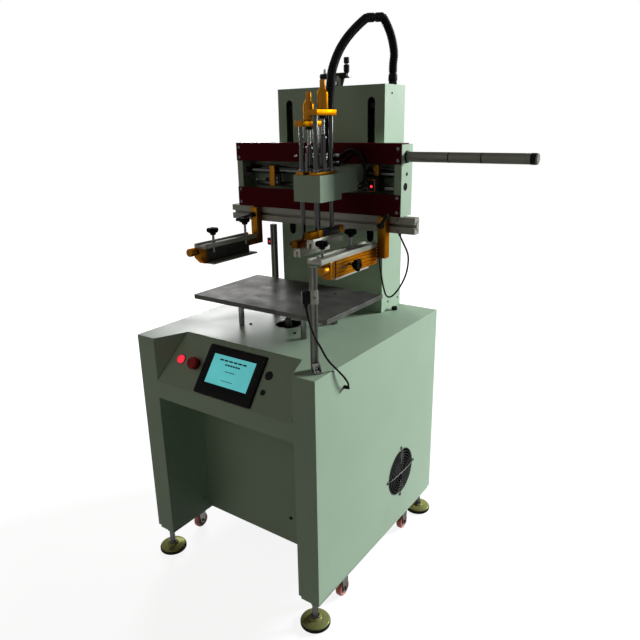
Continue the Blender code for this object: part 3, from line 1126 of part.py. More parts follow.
def build_unit(name, x, drop):
    """One cylinder unit; drop is how far it stands below the raised place."""
    foot = CARRIAGE_TOP + SEAT
    seat, half_seat = foot + UNIT_FOOT_HEIGHT, foot + UNIT_FOOT_HEIGHT / 2
    left, right = x - UNIT_HALF_WIDTH, x + UNIT_HALF_WIDTH
    front, back = UNIT_Y - UNIT_HALF_LENGTH, UNIT_Y + UNIT_HALF_LENGTH
    rods = [Vector((x, UNIT_Y + s * UNIT_ROD_SPREAD, 0)) for s in (-1, 1)]
    base = box((left, front, foot), (right, CARRIAGE_RISE_Y, seat))
    floor = seat + UNIT_BORE_FLOOR
    sleeve = turned([(UNIT_BORE_RADIUS, UNIT_BARREL_TOP), (UNIT_BARREL_RADIUS, UNIT_BARREL_TOP),
                     (UNIT_BARREL_RADIUS, half_seat), (0, half_seat), (0, floor), (UNIT_BORE_RADIUS, floor),
                     (UNIT_BORE_RADIUS, UNIT_BARREL_TOP)], (x, UNIT_Y, 0))
    join(base, box((left, CARRIAGE_RISE_Y - OVERRUN, half_seat), (right, back, seat)), sleeve)
    for place in rods:
        cut(base, rod(place + UP * (foot - OVERRUN), place + UP * (seat + OVERRUN), UNIT_ROD_RADIUS + RUN))
    node(f"{name}_cylinder", base, SILVER, 1.0, 0.35)

    low, high = UNIT_PLATE_LOW - drop, UNIT_PLATE_LOW + UNIT_PLATE_HEIGHT - drop
    middle = (low + high) / 2
    bar_low, bar_high = UNIT_BAR_LOW - drop, UNIT_BAR_LOW + UNIT_BAR_HEIGHT - drop
    bar_middle = (bar_low + bar_high) / 2
    plate = box((left, front, low), (right, back, high))
    bar = box((x - UNIT_BAR_HALF_WIDTH, UNIT_BAR_FRONT, bar_low),
              (x + UNIT_BAR_HALF_WIDTH, UNIT_BAR_BACK, bar_high))
    posts = [rod(place + UP * bar_middle, place + UP * middle, UNIT_ROD_RADIUS) for place in rods]
    collar, nut, ram = UNIT_COLLAR_HIGH - drop, low - UNIT_NUT_HEIGHT, UNIT_RAM_LOW - drop
    collar_low = collar - UNIT_COLLAR_HEIGHT
    spindle = turned([(0, middle), (UNIT_NUT_RADIUS, middle), (UNIT_NUT_RADIUS, nut),
                      (UNIT_SPINDLE_RADIUS, nut), (UNIT_SPINDLE_RADIUS, collar),
                      (UNIT_COLLAR_RADIUS, collar), (UNIT_COLLAR_RADIUS, collar_low),
                      (UNIT_RAM_RADIUS, collar_low), (UNIT_RAM_RADIUS, ram), (0, ram)], (x, UNIT_Y, 0))
    join(plate, bar, *posts, spindle)
    node(f"{name}_slide", plate, SILVER, 1.0, 0.3, (x, UNIT_Y, low))

    top, neck, shoulder = KNOB_HEIGHT, KNOB_NECK_RADIUS, KNOB_BODY_HEIGHT + KNOB_SHOULDER
    knob = turned([(0, top), (neck - KNOB_CHAMFER, top), (neck, top - KNOB_CHAMFER), (neck, shoulder),
                   (KNOB_BODY_RADIUS, KNOB_BODY_HEIGHT), (KNOB_BODY_RADIUS, 0), (0, 0)],
                  (x, UNIT_Y, high + SEAT))
    node(f"{name}_adjuster", knob, GOLD, 0.9, 0.35)

    holder_high = bar_low - SEAT
    holder_low = holder_high - HOLDER_HEIGHT
    holder = box((x - HOLDER_HALF_WIDTH, HOLDER_FRONT, holder_low),
                 (x + HOLDER_HALF_WIDTH, HOLDER_BACK, holder_high))
    cut(holder, box((x - HOLDER_SLOT_HALF, HOLDER_FRONT - OVERRUN, holder_low - OVERRUN),
                    (x + HOLDER_SLOT_HALF, HOLDER_BACK + OVERRUN, holder_low + HOLDER_SLOT_DEPTH)))
    node(f"{name}_holder", holder, (0.75, 0.78, 0.74), 0.3, 0.4, (x, UNIT_Y, holder_low))

    length, radius = CLAMP_KNOB_LENGTH, CLAMP_KNOB_RADIUS
    chamfer = CLAMP_KNOB_CHAMFER
    knob = turned([(0, length), (radius - chamfer, length), (radius, length - chamfer), (radius, 0), (0, 0)],
                  (x - UNIT_BAR_HALF_WIDTH - SEAT, CLAMP_KNOB_Y, bar_middle), (-1, 0, 0), FINE_SIDES)
    node(f"{name}_clamp_knob", knob, BLACK, 0.0, 0.4)


def star(radius, depth_share):
    """The outline of a lobed hand knob."""
    points = []
    for i in range(STAR_POINTS):
        angle = math.tau * i / STAR_POINTS
        reach = radius * (1 - depth_share * (1 - math.cos(STAR_LOBES * angle)) / 2)
        points.append((reach * math.cos(angle), reach * math.sin(angle)))
    return points


def star_screw(name, head, tip, direction, stem_start):
    """A star knob on its threaded stem; head is the middle of its lobes, and tip is its stem's length."""
    half = STAR_HEIGHT / 2
    knob = prism(star(STAR_RADIUS, STAR_DEPTH_SHARE), "Z", -half, half)
    hub = rod((0, 0, -half - STAR_HUB_HEIGHT), (0, 0, 0), STAR_HUB_RADIUS)
    stem = rod((0, 0, -tip), (0, 0, stem_start), STAR_STEM_RADIUS)
    turn = Matrix.Translation(head) @ UP.rotation_difference(Vector(direction)).to_matrix().to_4x4()
    for shape in (knob, hub, stem):
        shape.data.transform(turn)
    join(knob, hub, stem)
    node(name, knob, BLACK, 0.0, 0.45, head)


def build_arm(side, s):
    """One screen arm; s is 1 on the right and -1 on the left."""
    def span(a, b):
        return min(s * a, s * b), max(s * a, s * b)

    def arm_box(near, far, front, back, low, high):
        x = span(near, far)
        return box((x[0], front, low), (x[1], back, high))

    under = ARM_TOP - ARM_CHANNEL_HEIGHT
    channel_back, web_front, web_back = ARM_CHANNEL_BACK[side], WEB_FRONT[side], WEB_BACK[side]
    arm = arm_box(ARM_INNER, ARM_OUTER, ARM_FRONT, channel_back, under, ARM_TOP)
    web_inner = ARM_OUTER - ARM_WEB_THICKNESS
    web = arm_box(web_inner, ARM_OUTER, web_front, web_back, ARM_WEB_LOW, under + OVERRUN)
    lip = arm_box(ARM_INNER, ARM_OUTER - ARM_RIB_DEPTH, max(web_front, ARM_LIP_FRONT), ARM_LIP_BACK[side],
                  ARM_WEB_LOW - ARM_LIP_DROP[side], ARM_LIP_TOP)
    end_front = web_front - BLOCK_LENGTH
    end = arm_box(BLOCK_INNER, ARM_OUTER, end_front, web_front + OVERRUN, ARM_WEB_LOW, under + OVERRUN)
    bracket = arm_box(BRACKET_INNER, BRACKET_OUTER, BRACKET_FRONT, BEAM_FRONT - SEAT, BRACKET_LOW,
                      BEAM_TOP - BRACKET_TOP_GAP)
    join(arm, web, lip, end, bracket)
    rib_back = min(web_back, BRACKET_FRONT) - OVERRUN
    if web_back < BRACKET_FRONT:
        link_front = web_back - ARM_LINK_LAP
        rib_back = link_front - OVERRUN
        join(arm, arm_box(ARM_OUTER - ARM_RIB_DEPTH, BRACKET_OUTER - SEAT, link_front,
                          BRACKET_FRONT + OVERRUN, BRACKET_LOW + SEAT, under + SEAT))
    groove = arm_box(ARM_INNER + ARM_CHANNEL_LIP, ARM_OUTER - ARM_CHANNEL_LIP, ARM_FRONT - OVERRUN,
                     channel_back + OVERRUN, ARM_TOP - ARM_CHANNEL_GROOVE, ARM_TOP + OVERRUN)
    cut(arm, groove)
    if BLOCK_NOSE[side]:
        x = span(BLOCK_INNER - OVERRUN, ARM_OUTER + OVERRUN)
        over, below = end_front - OVERRUN, ARM_WEB_LOW - OVERRUN
        cut(arm, prism([(over, below), (web_front, below), (web_front, ARM_WEB_LOW),
                        (end_front, ARM_WEB_LOW + BLOCK_NOSE[side]), (over, ARM_WEB_LOW + BLOCK_NOSE[side])],
                       "X", *x))
    pitch = (under - ARM_WEB_LOW) / ARM_RIBS
    for i in range(ARM_RIBS):
        low = ARM_WEB_LOW + i * pitch + pitch * ARM_RIB_SHARE / 2
        cut(arm, arm_box(ARM_OUTER - ARM_RIB_DEPTH, ARM_OUTER + OVERRUN, web_front, rib_back,
                         low, low + pitch * ARM_RIB_SHARE))
    hole, x, y = STAR_STEM_RADIUS + RUN, Vector((s, 0, 0)), Vector((0, 1, 0))
    for place in (FRONT_SCREW_Y, REAR_SCREW_Y):
        axis = Vector((s * SCREW_X, place, 0))
        cut(arm, rod(axis + UP * (under - OVERRUN), axis + UP * (ARM_TOP + OVERRUN), hole))
    axis = Vector((0, SIDE_SCREW_Y, SIDE_SCREW_Z))
    cut(arm, rod(axis + x * (web_inner - OVERRUN), axis + x * (ARM_OUTER + OVERRUN), hole))
    fine_end = Vector((s * FINE_X, end_front, ARM_TOP - FINE_DROP[side]))
    fine_back = fine_end + y * (FINE_STEM_LENGTH + FINE_GAP)
    cut(arm, rod(fine_end - y * OVERRUN, fine_back, FINE_STEM_RADIUS + RUN))
    hub_back = BRACKET_FRONT - SEAT
    axis = Vector((s * LEVER_X, hub_back, BEAM_SLOT_Z))
    cut(arm, rod(axis - y * OVERRUN, axis + y * (BEAM_DEPTH + OVERRUN), LEVER_STUD_RADIUS + RUN))
    node(f"{side}_arm", arm, GOLD, 0.9, 0.4, (s * LEVER_X, BRACKET_FRONT, BEAM_SLOT_Z))

    hub = Vector((s * LEVER_X, hub_back, BEAM_SLOT_Z))
    head_start = BEAM_FRONT + BEAM_SLOT_LIP + LEVER_HEAD_GAP - hub_back
    lever = turned([(0, head_start + LEVER_HEAD_LENGTH), (LEVER_HEAD_RADIUS, head_start + LEVER_HEAD_LENGTH),
                    (LEVER_HEAD_RADIUS, head_start), (LEVER_STUD_RADIUS, head_start), (LEVER_STUD_RADIUS, 0),
                    (LEVER_HUB_RADIUS, 0), (LEVER_HUB_RADIUS, -LEVER_HUB_LENGTH), (0, -LEVER_HUB_LENGTH)],
                   hub, (0, 1, 0), FINE_SIDES)
    root = hub - Vector((0, LEVER_HUB_LENGTH / 2, 0))
    angle = LEVER_ANGLE[side]
    reach = Vector((math.cos(angle) * math.cos(LEVER_LEAN), -math.sin(LEVER_LEAN),
                    math.sin(angle) * math.cos(LEVER_LEAN))) * LEVER_LENGTH[side]
    join(lever, rod(root, root + reach, LEVER_ROOT_RADIUS, FINE_SIDES, LEVER_GRIP_RADIUS))
    node(f"{side}_lever", lever, BLACK, 0.0, 0.4)

    for place, y, rise in (("front", FRONT_SCREW_Y, FRONT_SCREW_RISE[side]),
                           ("rear", REAR_SCREW_Y, REAR_SCREW_RISE[side])):
        star_screw(f"{side}_{place}_screw", Vector((s * SCREW_X, y, ARM_TOP + rise)), rise + SCREW_TIP_DROP,
                   UP, 0)
    star_screw(f"{side}_side_screw", Vector((s * SIDE_SCREW_X, SIDE_SCREW_Y, SIDE_SCREW_Z)),
               SIDE_SCREW_X - SIDE_SCREW_TIP, (s, 0, 0), 0)
    fine = turned([(0, FINE_LENGTH), (FINE_RADIUS, FINE_LENGTH), (FINE_RADIUS, SEAT),
                   (FINE_STEM_RADIUS, SEAT), (FINE_STEM_RADIUS, -FINE_STEM_LENGTH), (0, -FINE_STEM_LENGTH)],
                  fine_end, (0, -1, 0))
    node(f"{side}_fine_adjuster", fine, GOLD, 0.9, 0.3)


def build_front_post():
    low = CABINET_TOP + SEAT
    half, slot = FRONT_POST_HALF, FRONT_POST_SLOT_HALF
    post = box((-half, -half, low), (half, half, FRONT_POST_TOP))
    slot_low, slot_high = low + POST_BRACKET_HEIGHT, FRONT_POST_TOP + OVERRUN
    floor = half - FRONT_POST_SLOT_DEPTH
    slots = [box((floor, -slot, slot_low), (half + OVERRUN, slot, slot_high)),
             box((-slot, -half - OVERRUN, slot_low), (slot, -floor, slot_high))]
    wide, lap, foot = POST_BRACKET_HALF, half - OVERRUN, half + POST_BRACKET_LENGTH
    step, high = low + POST_BRACKET_THICKNESS, low + POST_BRACKET_HEIGHT
    back = half + POST_BRACKET_THICKNESS
    bracket = [prism([(lap, low), (foot, low), (foot, step), (back, step), (back, high), (lap, high)],
                     "Y", -wide, wide)]
    corner = [(half + SEAT, low + SEAT), (foot - SEAT, low + SEAT), (half + SEAT, high - SEAT)]
    bracket += [prism(corner, "Y", near, near + POST_BRACKET_RIB)
                for near in (SEAT - wide, wide - SEAT - POST_BRACKET_RIB)]
    margin = SLIDER_MARGIN
    wide = half + margin
    slider = [box((-wide, -wide, SLIDER_LOW), (wide, wide, SLIDER_HIGH)),
              box((-FRONT_SENSOR_HALF, -half - FRONT_SENSOR_LENGTH, FRONT_SENSOR_LOW),
                  (FRONT_SENSOR_HALF, -half - margin + OVERRUN, SLIDER_HIGH - margin))]
    turn = Matrix.Translation((FRONT_POST_X, FRONT_POST_Y, 0)) @ Matrix.Rotation(FRONT_POST_TURN, 4, "Z")
    for shape in (post, *slots, *bracket, *slider):
        shape.data.transform(turn)
    cut(post, *slots)
    join(post, *bracket, *slider)
    node("front_post", post, SILVER, 1.0, 0.35)


def build_rear_post():
    low = CABINET_TOP + SEAT
    x, y, half = REAR_POST_X, REAR_POST_Y, REAR_POST_HALF
    post = box((x - half, y - half, low), (x + half, y + half, REAR_POST_TOP))
    join(post, box((x - half - REAR_SENSOR_LENGTH, y - half / 2, REAR_SENSOR_LOW),
                   (x - half + OVERRUN, y + half / 2, REAR_SENSOR_HIGH)))
    node("rear_post", post, SILVER, 1.0, 0.35)


def ribbed(points, name):
    """A ribbed hose: its rings stand between plain straight ends, and its bore is cut through."""
    last = len(points) - 1
    radii = [CONDUIT_RADIUS if 1 < i < last - 1 and i % 2 else CONDUIT_ROOT_RADIUS for i in range(last + 1)]
    hose = tube(points, radii)
    bore = [points[round(i * last / (CONDUIT_BORE_POINTS - 1))] for i in range(CONDUIT_BORE_POINTS)]
    bore[0] = points[0] + (points[0] - points[1]).normalized() * OVERRUN
    bore[-1] = points[-1] + (points[-1] - points[-2]).normalized() * OVERRUN
    bore[1:1], bore[-1:-1] = [points[1]], [points[-2]]
    cut(hose, tube(bore, [CONDUIT_BORE_RADIUS] * len(bore), 1))
    node(name, hose, BLACK, 0.0, 0.55, points[0])


def build_conduit():
    start = Vector((GLAND_X, GLAND_Y, COLUMN_TOP + GLAND_HEIGHT + SEAT))
    top, way = Vector(CONDUIT_TOP), Vector(CONDUIT_TOP_WAY).normalized()
    end = Vector((CONDUIT_BOSS_X, CONDUIT_BOSS_Y, CONDUIT_BOSS_TOP + SEAT))
    straight = CONDUIT_STRAIGHT
    ribbed(smooth_route([start, start + UP * straight, *CONDUIT_OUTER_ROUTE, top - way * straight,
                         top - way * SEAT / 2], 2 * CONDUIT_OUTER_RIBS), "conduit_outer")
    ribbed(smooth_route([top + way * SEAT / 2, top + way * straight, *CONDUIT_INNER_ROUTE,
                         end + UP * straight, end], 2 * CONDUIT_INNER_RIBS), "conduit_inner")


def build_loop_cable():
    under = UP * (BEAM_LOW - SEAT)
    start, end = Vector((*LOOP_START, 0)) + under, Vector((*LOOP_END, 0)) + under
    drop = UP * CABLE_STRAIGHT
    points = smooth_route([start, start - drop, *LOOP_ROUTE, end - drop, end], LOOP_POINTS)
    node("loop_cable", tube(points, [CABLE_RADIUS] * len(points)), BLACK, 0.0, 0.5, start)


def build_sensor_cable():
    drop = UP * CABLE_STRAIGHT
    start = Vector((HALF_WIDTH + LEAD_START[0], FRONT + LEAD_START[1], FRONT_SENSOR_LOW - SEAT))
    end = Vector((HALF_WIDTH + SEAT, FRONT + LEAD_END[0], CABINET_TOP + LEAD_END[1]))
    out = Vector((CABLE_STRAIGHT, 0, 0))
    route = [(HALF_WIDTH + x, FRONT + y, CABINET_TOP + z) for x, y, z in LEAD_ROUTE]
    points = smooth_route([start, start - drop, *route, end + out, end], LEAD_POINTS)
    node("sensor_cable", tube(points, [CABLE_RADIUS] * len(points)), BLACK, 0.0, 0.5)


build_cabinet()
build_underframe()
build_console()
build_fan()
build_door()
build_front_post()
build_sensor_cable()
by_cabinet = set(bpy.data.objects)
build_table()
build_column()
build_lift()
build_head()
build_stops()
build_carriage()
build_unit("flood", FLOOD_X, 0)
build_unit("squeegee", SQUEEGEE_X, SQUEEGEE_DROP)
build_arm("right", 1)
build_arm("left", -1)
build_rear_post()
build_conduit()
build_loop_cable()

for obj in bpy.data.objects:
    obj.location.x -= ORIGIN_X
    if obj not in by_cabinet:
        obj.location.y += PRINT_LINE
print("pieces:", len(parts.objects))
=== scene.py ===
"""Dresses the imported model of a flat-bed screen printing machine, laid out as a Blender add-on."""

import math

import bmesh
import bpy
from bpy.props import FloatProperty, FloatVectorProperty, IntProperty, PointerProperty
from mathutils import Matrix, Vector


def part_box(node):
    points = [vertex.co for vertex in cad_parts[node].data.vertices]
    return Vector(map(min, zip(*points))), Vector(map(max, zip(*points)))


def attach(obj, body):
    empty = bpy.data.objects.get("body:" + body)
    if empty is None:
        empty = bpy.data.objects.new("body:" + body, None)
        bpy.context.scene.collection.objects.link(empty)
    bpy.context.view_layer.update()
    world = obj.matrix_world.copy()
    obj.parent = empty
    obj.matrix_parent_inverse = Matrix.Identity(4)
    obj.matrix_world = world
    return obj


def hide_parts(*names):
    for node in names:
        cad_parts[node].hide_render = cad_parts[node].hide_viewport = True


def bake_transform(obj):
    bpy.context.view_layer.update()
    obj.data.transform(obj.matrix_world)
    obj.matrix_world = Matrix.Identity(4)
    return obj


bl_info = {
    "name": "Flat-bed Screen Printing Machine",
    "version": (1, 0, 0),
    "blender": (4, 5, 0),
    "location": "View3D > Sidebar > Printing Machine",
    "description": "Finishes, fittings, cables and studio for the screen printing machine",
    "category": "Object",
}

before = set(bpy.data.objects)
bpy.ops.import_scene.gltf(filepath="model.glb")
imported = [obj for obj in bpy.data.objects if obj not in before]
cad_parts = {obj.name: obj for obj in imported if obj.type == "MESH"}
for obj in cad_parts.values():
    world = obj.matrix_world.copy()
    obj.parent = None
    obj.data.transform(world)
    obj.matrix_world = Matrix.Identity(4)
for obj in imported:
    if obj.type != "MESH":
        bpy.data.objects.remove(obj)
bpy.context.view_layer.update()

# The pieces are drawn with x = 0 on the cabinet's middle, and moved by this much when they are done.
MIDDLE = sum(corner.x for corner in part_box("cabinet")) / 2
FLOOR_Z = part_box("foot_front_right")[0].z
CONSOLE_LOW_Z, CONSOLE_SET_BACK, CONSOLE_DROP = 0.58, 0.093, 0.125
CABINET_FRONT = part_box("cabinet")[0].y
COLUMN_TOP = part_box("column")[1].z
BEAM_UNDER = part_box("clamp_beam")[0].z
TABLE_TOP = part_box("worktable")[1].z
SIDES = (("left", -1), ("right", 1))
RIGHT, LEFT, FRONT, BACK, DOWN = (1, 0, 0), (-1, 0, 0), (0, -1, 0), (0, 1, 0), (0, 0, -1)
# The finishes that are used most
BLACK, NICKEL, DARK, ROD = "black_moulding", "nickel_fitting", "dark_steel", "ground_steel_rod"
GOLD_PLATE, GREEN = "gold_anodised_plate", "green_powder_coat"


# Sizes and colours that a user may change

def colour(name, description, default):
    """A colour that a user may change."""
    return FloatVectorProperty(name=name, description=description, default=default, subtype="COLOR", min=0,
                               max=1)


def length(name, description, default):
    """A length in metres that a user may change."""
    return FloatProperty(name=name, description=description, default=default, min=0, unit="LENGTH")


class MachineColours(bpy.types.PropertyGroup):
    """Colours of the paints, metals and mouldings."""
    cabinet_green: colour("Cabinet green", "Pale green powder coat on the sheet metal",
                          (0.375, 0.505, 0.38))
    cover_red: colour("Cover red", "Dark red powder coat on the head's covers", (0.072, 0.0025, 0.006))
    gold: colour("Gold anodising", "Arms, stops, adjusters and top plates", (0.165, 0.068, 0.007))
    silver: colour("Silver anodising", "Slotted extrusions and holders", (0.33, 0.34, 0.3))
    steel: colour("Ground steel", "Rods, shafts and screws", (0.22, 0.224, 0.216))
    table: colour("Worktable", "Brushed dark plate", (0.135, 0.137, 0.127))
    zinc: colour("Yellow zinc", "Discs of the levelling feet", (0.28, 0.29, 0.11))
    black: colour("Black moulding", "Knobs, sensors and plugs", (0.01, 0.01, 0.011))
    tyre: colour("Tyre", "Red polyurethane tyres", (0.21, 0.02, 0.007))
    stop_red: colour("Stop button", "Red cap of the stop button", (0.33, 0.006, 0.01))
    screen: colour("Screen", "Lit operator screen", (0.085, 0.44, 0.45))
    lamp: colour("Lamp", "Lit start button and sensor lamps", (1.0, 0.02, 0.045))


class MachineSizes(bpy.types.PropertyGroup):
    """Sizes of the small detail."""
    edge: length("Rounded edge", "Radius that the sheet metal's folds show", 0.0012)
    peel: length("Paint texture", "Depth of the powder coat's fine texture", 0.0001)
    hose: length("Air hose", "Diameter of the carriage's air hoses", 0.007)
    cable: length("Cable", "Diameter of the sensor cables", 0.005)
    conduit: length("Conduit", "Radius of the ribbed conduit over its ribs", 0.012)
    conduit_root: length("Conduit root", "Radius of the ribbed conduit between its ribs", 0.0101)
    rib_pitch: length("Rib pitch", "Distance from one rib of the conduit to the next", 0.0042)
    cover_screw: length("Cover screw", "Head radius of the cover screws", 0.0038)
    guard_rings: IntProperty(name="Guard rings", description="Rings of the fan's wire guard", default=9,
                             min=3)
    blades: IntProperty(name="Fan blades", description="Blades of the fan rotor", default=7, min=3)


class MachineLights(bpy.types.PropertyGroup):
    """Studio lamps and background."""
    key: FloatProperty(name="Key lamp", description="Large soft lamp behind on the right", default=800,
                       min=0, unit="POWER")
    fill: FloatProperty(name="Fill lamp", description="Weak soft lamp in front", default=16, min=0,
                        unit="POWER")
    window: FloatProperty(name="Window", description="Bright panel behind on the left, for the sheen",
                          default=85, min=0, unit="POWER")
    room: FloatProperty(name="Room light", description="Light from all around", default=0.035, min=0)
    backdrop: FloatProperty(name="Backdrop", description="Brightness of the backdrop in the picture",
                            default=1.0, min=0, max=1)
    floor_glow: FloatProperty(name="Floor glow",
                              description="How much of the floor's brightness is its own", default=0.88,
                              min=0, max=1)


# Shaping tools: each gives a bmesh drawn about the origin or in place

FOLD, SMOOTH = math.radians(25), math.radians(38)
MERGE, SPLINE_STEPS = 1e-7, 40

OUTLINES = {
    "round": lambda angle: 1,
    "hex": lambda angle: 1 / math.cos(angle % (math.pi / 3) - math.pi / 6),
    "square": lambda angle: min(1 / max(abs(math.cos(angle)), abs(math.sin(angle))), 1.32),
    "star": lambda angle: 1 - 0.12 * (1 - math.cos(5 * angle)),
    "knurl": lambda angle: 1 - 0.022 * (1 - math.cos(24 * angle)),
}


def bridge(shape, first, second):
    """Join two rings of corners with faces; a ring of one corner makes a fan."""
    count = max(len(first), len(second))
    for i in range(count):
        corners = []
        for ring, k in ((first, i), (first, i + 1), (second, i + 1), (second, i)):
            corner = ring[k % len(ring)]
            if corner not in corners:
                corners.append(corner)
        if len(corners) > 2:
            shape.faces.new(corners)


def turned(profile, sides=40):
    """A shape turned about Z; a profile point is (radius, height), or also names its outline."""
    shape = bmesh.new()
    rings = []
    for radius, height, *outline in profile:
        form = OUTLINES[outline[0] if outline else "round"]
        ring = []
        for i in range(sides if radius else 1):
            angle = math.tau * i / sides
            reach = radius * form(angle)
            ring.append(shape.verts.new((reach * math.cos(angle), reach * math.sin(angle), height)))
        rings.append(ring)
    for first, second in zip(rings, rings[1:]):
        bridge(shape, first, second)
    bmesh.ops.remove_doubles(shape, verts=shape.verts, dist=MERGE)
    return shape


def rounded(outline, size, closed=False, steps=3):
    """The outline with its corners rounded."""
    points, count = [], len(outline)
    for i, corner in enumerate(outline):
        here = Vector(corner)
        before, after = Vector(outline[i - 1]) - here, Vector(outline[(i + 1) % count]) - here
        cut = min(size, before.length * 0.45, after.length * 0.45)
        if (not closed and i in (0, count - 1)) or cut < 1e-6:
            points.append(tuple(here))
            continue
        start, end = here + before.normalized() * cut, here + after.normalized() * cut
        for k in range(steps + 1):
            t = k / steps
            points.append(tuple(start * (1 - t) ** 2 + here * 2 * t * (1 - t) + end * t ** 2))
    return points


def round_edges(shape, size, steps=2):
    """Round every edge that folds by more than 25 degrees."""
    bmesh.ops.recalc_face_normals(shape, faces=shape.faces)
    edges = [e for e in shape.edges if len(e.link_faces) == 2 and e.calc_face_angle(0) > FOLD]
    if size and edges:
        bmesh.ops.bevel(shape, geom=edges, offset=size, segments=steps, profile=0.5, affect="EDGES",
                        clamp_overlap=True)
    return shape


def block(low, high, edge=0.0006):
    """A block with rounded edges between two opposite corners."""
    shape = bmesh.new()
    bmesh.ops.create_cube(shape, size=1)
    low, high = Vector(low), Vector(high)
    span = [abs(reach) for reach in high - low]
    shape.transform(Matrix.Translation((low + high) / 2) @ Matrix.Diagonal((*span, 1)))
    return round_edges(shape, edge)


def slab(outline, axis, low, high, edge=0.0005):
    """An outline drawn across an axis and given thickness along it."""
    def place(u, v, w):
        """The corner with its parts in order."""
        return {"X": (w, u, v), "Y": (u, w, v), "Z": (u, v, w)}[axis]

    shape = bmesh.new()
    rings = [[shape.verts.new(place(u, v, w)) for u, v in outline] for w in sorted((low, high))]
    bridge(shape, *rings)
    for ring in rings:
        shape.faces.new(ring)
    return round_edges(shape, edge)


def layered(outlines):
    """Closed outlines of equal count, each (points, height), skinned one onto the next and capped."""
    shape = bmesh.new()
    rings = [[shape.verts.new((u, v, height)) for u, v in points] for points, height in outlines]
    for first, second in zip(rings, rings[1:]):
        bridge(shape, first, second)
    shape.faces.new(rings[0])
    shape.faces.new(rings[-1])
    return shape


def round_box(width, height, radius, centre=(0, 0), steps=5):
    """The outline of a rectangle with round corners."""
    points = []
    for k, (sx, sy) in enumerate(((1, 1), (-1, 1), (-1, -1), (1, -1))):
        middle = (centre[0] + sx * (width / 2 - radius), centre[1] + sy * (height / 2 - radius))
        for i in range(steps + 1):
            angle = math.pi / 2 * (k + i / steps)
            points.append((middle[0] + radius * math.cos(angle), middle[1] + radius * math.sin(angle)))
    return points


def tube(route, radii, sides=14):
    """A round tube along the route, with one radius or one for each point."""
    route = [Vector(place) for place in route]
    count = len(route)
    radii = radii if isinstance(radii, (list, tuple)) else [radii] * count
    ways = [(route[min(i + 1, count - 1)] - route[max(i - 1, 0)]).normalized() for i in range(count)]
    across = ways[0].orthogonal().normalized()
    shape = bmesh.new()
    rings = []
    for i, (place, way, radius) in enumerate(zip(route, ways, radii)):
        if i:
            across = ways[i - 1].rotation_difference(way) @ across
        other = way.cross(across)
        rings.append([shape.verts.new(place + (across * math.cos(a) + other * math.sin(a)) * radius)
                      for a in (math.tau * k / sides for k in range(sides))])
    for first, second in zip(rings, rings[1:]):
        bridge(shape, first, second)
    shape.faces.new(rings[0])
    shape.faces.new(rings[-1])
    return shape


def hoop(radius, wire, sides=64, wire_sides=10):
    """A ring of round wire about Z."""
    angles = [math.tau * i / wire_sides for i in range(wire_sides + 1)]
    return turned([(radius + wire * math.cos(a), wire * math.sin(a)) for a in angles], sides)


def thread(radius, low, high, pitch=0.0015, depth=0.0005, sides=20):
    """A screw thread about Z, wound over a core."""
    shape = bmesh.new()
    core = radius - depth
    rows = []
    for i in range(int((high - low - pitch) / pitch * sides) + 1):
        angle, z = math.tau * i / sides, low + pitch / 2 + pitch * i / sides
        rows.append([shape.verts.new((r * math.cos(angle), r * math.sin(angle), z + step))
                     for r, step in ((core, -pitch / 2), (radius, 0), (core, pitch / 2))])
    for first, second in zip(rows, rows[1:]):
        for k in (0, 1):
            shape.faces.new((first[k], second[k], second[k + 1], first[k + 1]))
    return shape


def at(x, y, z):
    """A place for a shape that was drawn about the origin."""
    return Matrix.Translation((x, y, z))


def aim(place, way=(0, 0, 1), spin=0):
    """A place and a direction for a shape that was drawn about Z."""
    turn = Vector((0, 0, 1)).rotation_difference(Vector(way)).to_matrix().to_4x4()
    return Matrix.Translation(place) @ turn @ Matrix.Rotation(spin, 4, "Z")


def button_screw(radius):
    """A domed screw head with a hexagon socket, standing on z = 0."""
    return turned([(0, radius * 0.3), (radius * 0.42, radius * 0.3, "hex"),
                   (radius * 0.42, radius * 0.62, "hex"), (radius * 0.62, radius * 0.6),
                   (radius * 0.85, radius * 0.42), (radius, radius * 0.14), (radius, 0), (0, 0)], 36)


def socket_screw(radius, height):
    """A cap screw with a hexagon socket, standing on z = 0."""
    return turned([(0, height * 0.45), (radius * 0.52, height * 0.45, "hex"),
                   (radius * 0.52, height, "hex"), (radius * 0.88, height), (radius, height * 0.92),
                   (radius, height * 0.05), (radius * 0.95, 0), (0, 0)], 36)


def nut(flat, height):
    """A hexagon nut or head standing on z = 0; flat is half its width across flats."""
    return turned([(0, 0), (flat * 0.98, 0), (flat, height * 0.08, "hex"), (flat, height * 0.86, "hex"),
                   (flat * 0.98, height), (0, height)], 48)


def softened(profile, edge, sides):
    """A shape turned about Z with the corners of its profile rounded."""
    return turned(rounded(profile, edge), sides)


def round_bar(radius, low, high, edge=0.0006, sides=32):
    """A round bar about Z with softened ends."""
    return softened([(0, low), (radius, low), (radius, high), (0, high)], edge, sides)


def sleeve(inner, outer, low, high, edge, sides):
    """A ring of square section about Z with rounded corners."""
    return softened([(inner, low), (outer, low), (outer, high), (inner, high), (inner, low)], edge, sides)


def push_fitting(size=1.0):
    """A push-in air fitting standing on z = 0, as (shape, finish) pairs."""
    return ((nut(0.0046 * size, 0.005 * size), NICKEL),
            (softened([(0, 0.004 * size), (0.005 * size, 0.005 * size), (0.005 * size, 0.0125 * size),
                       (0.0042 * size, 0.014 * size), (0, 0.014 * size)], 0.0006, 28), NICKEL),
            (round_bar(0.0036 * size, 0.013 * size, 0.0162 * size, 0.0004, 24), BLACK))


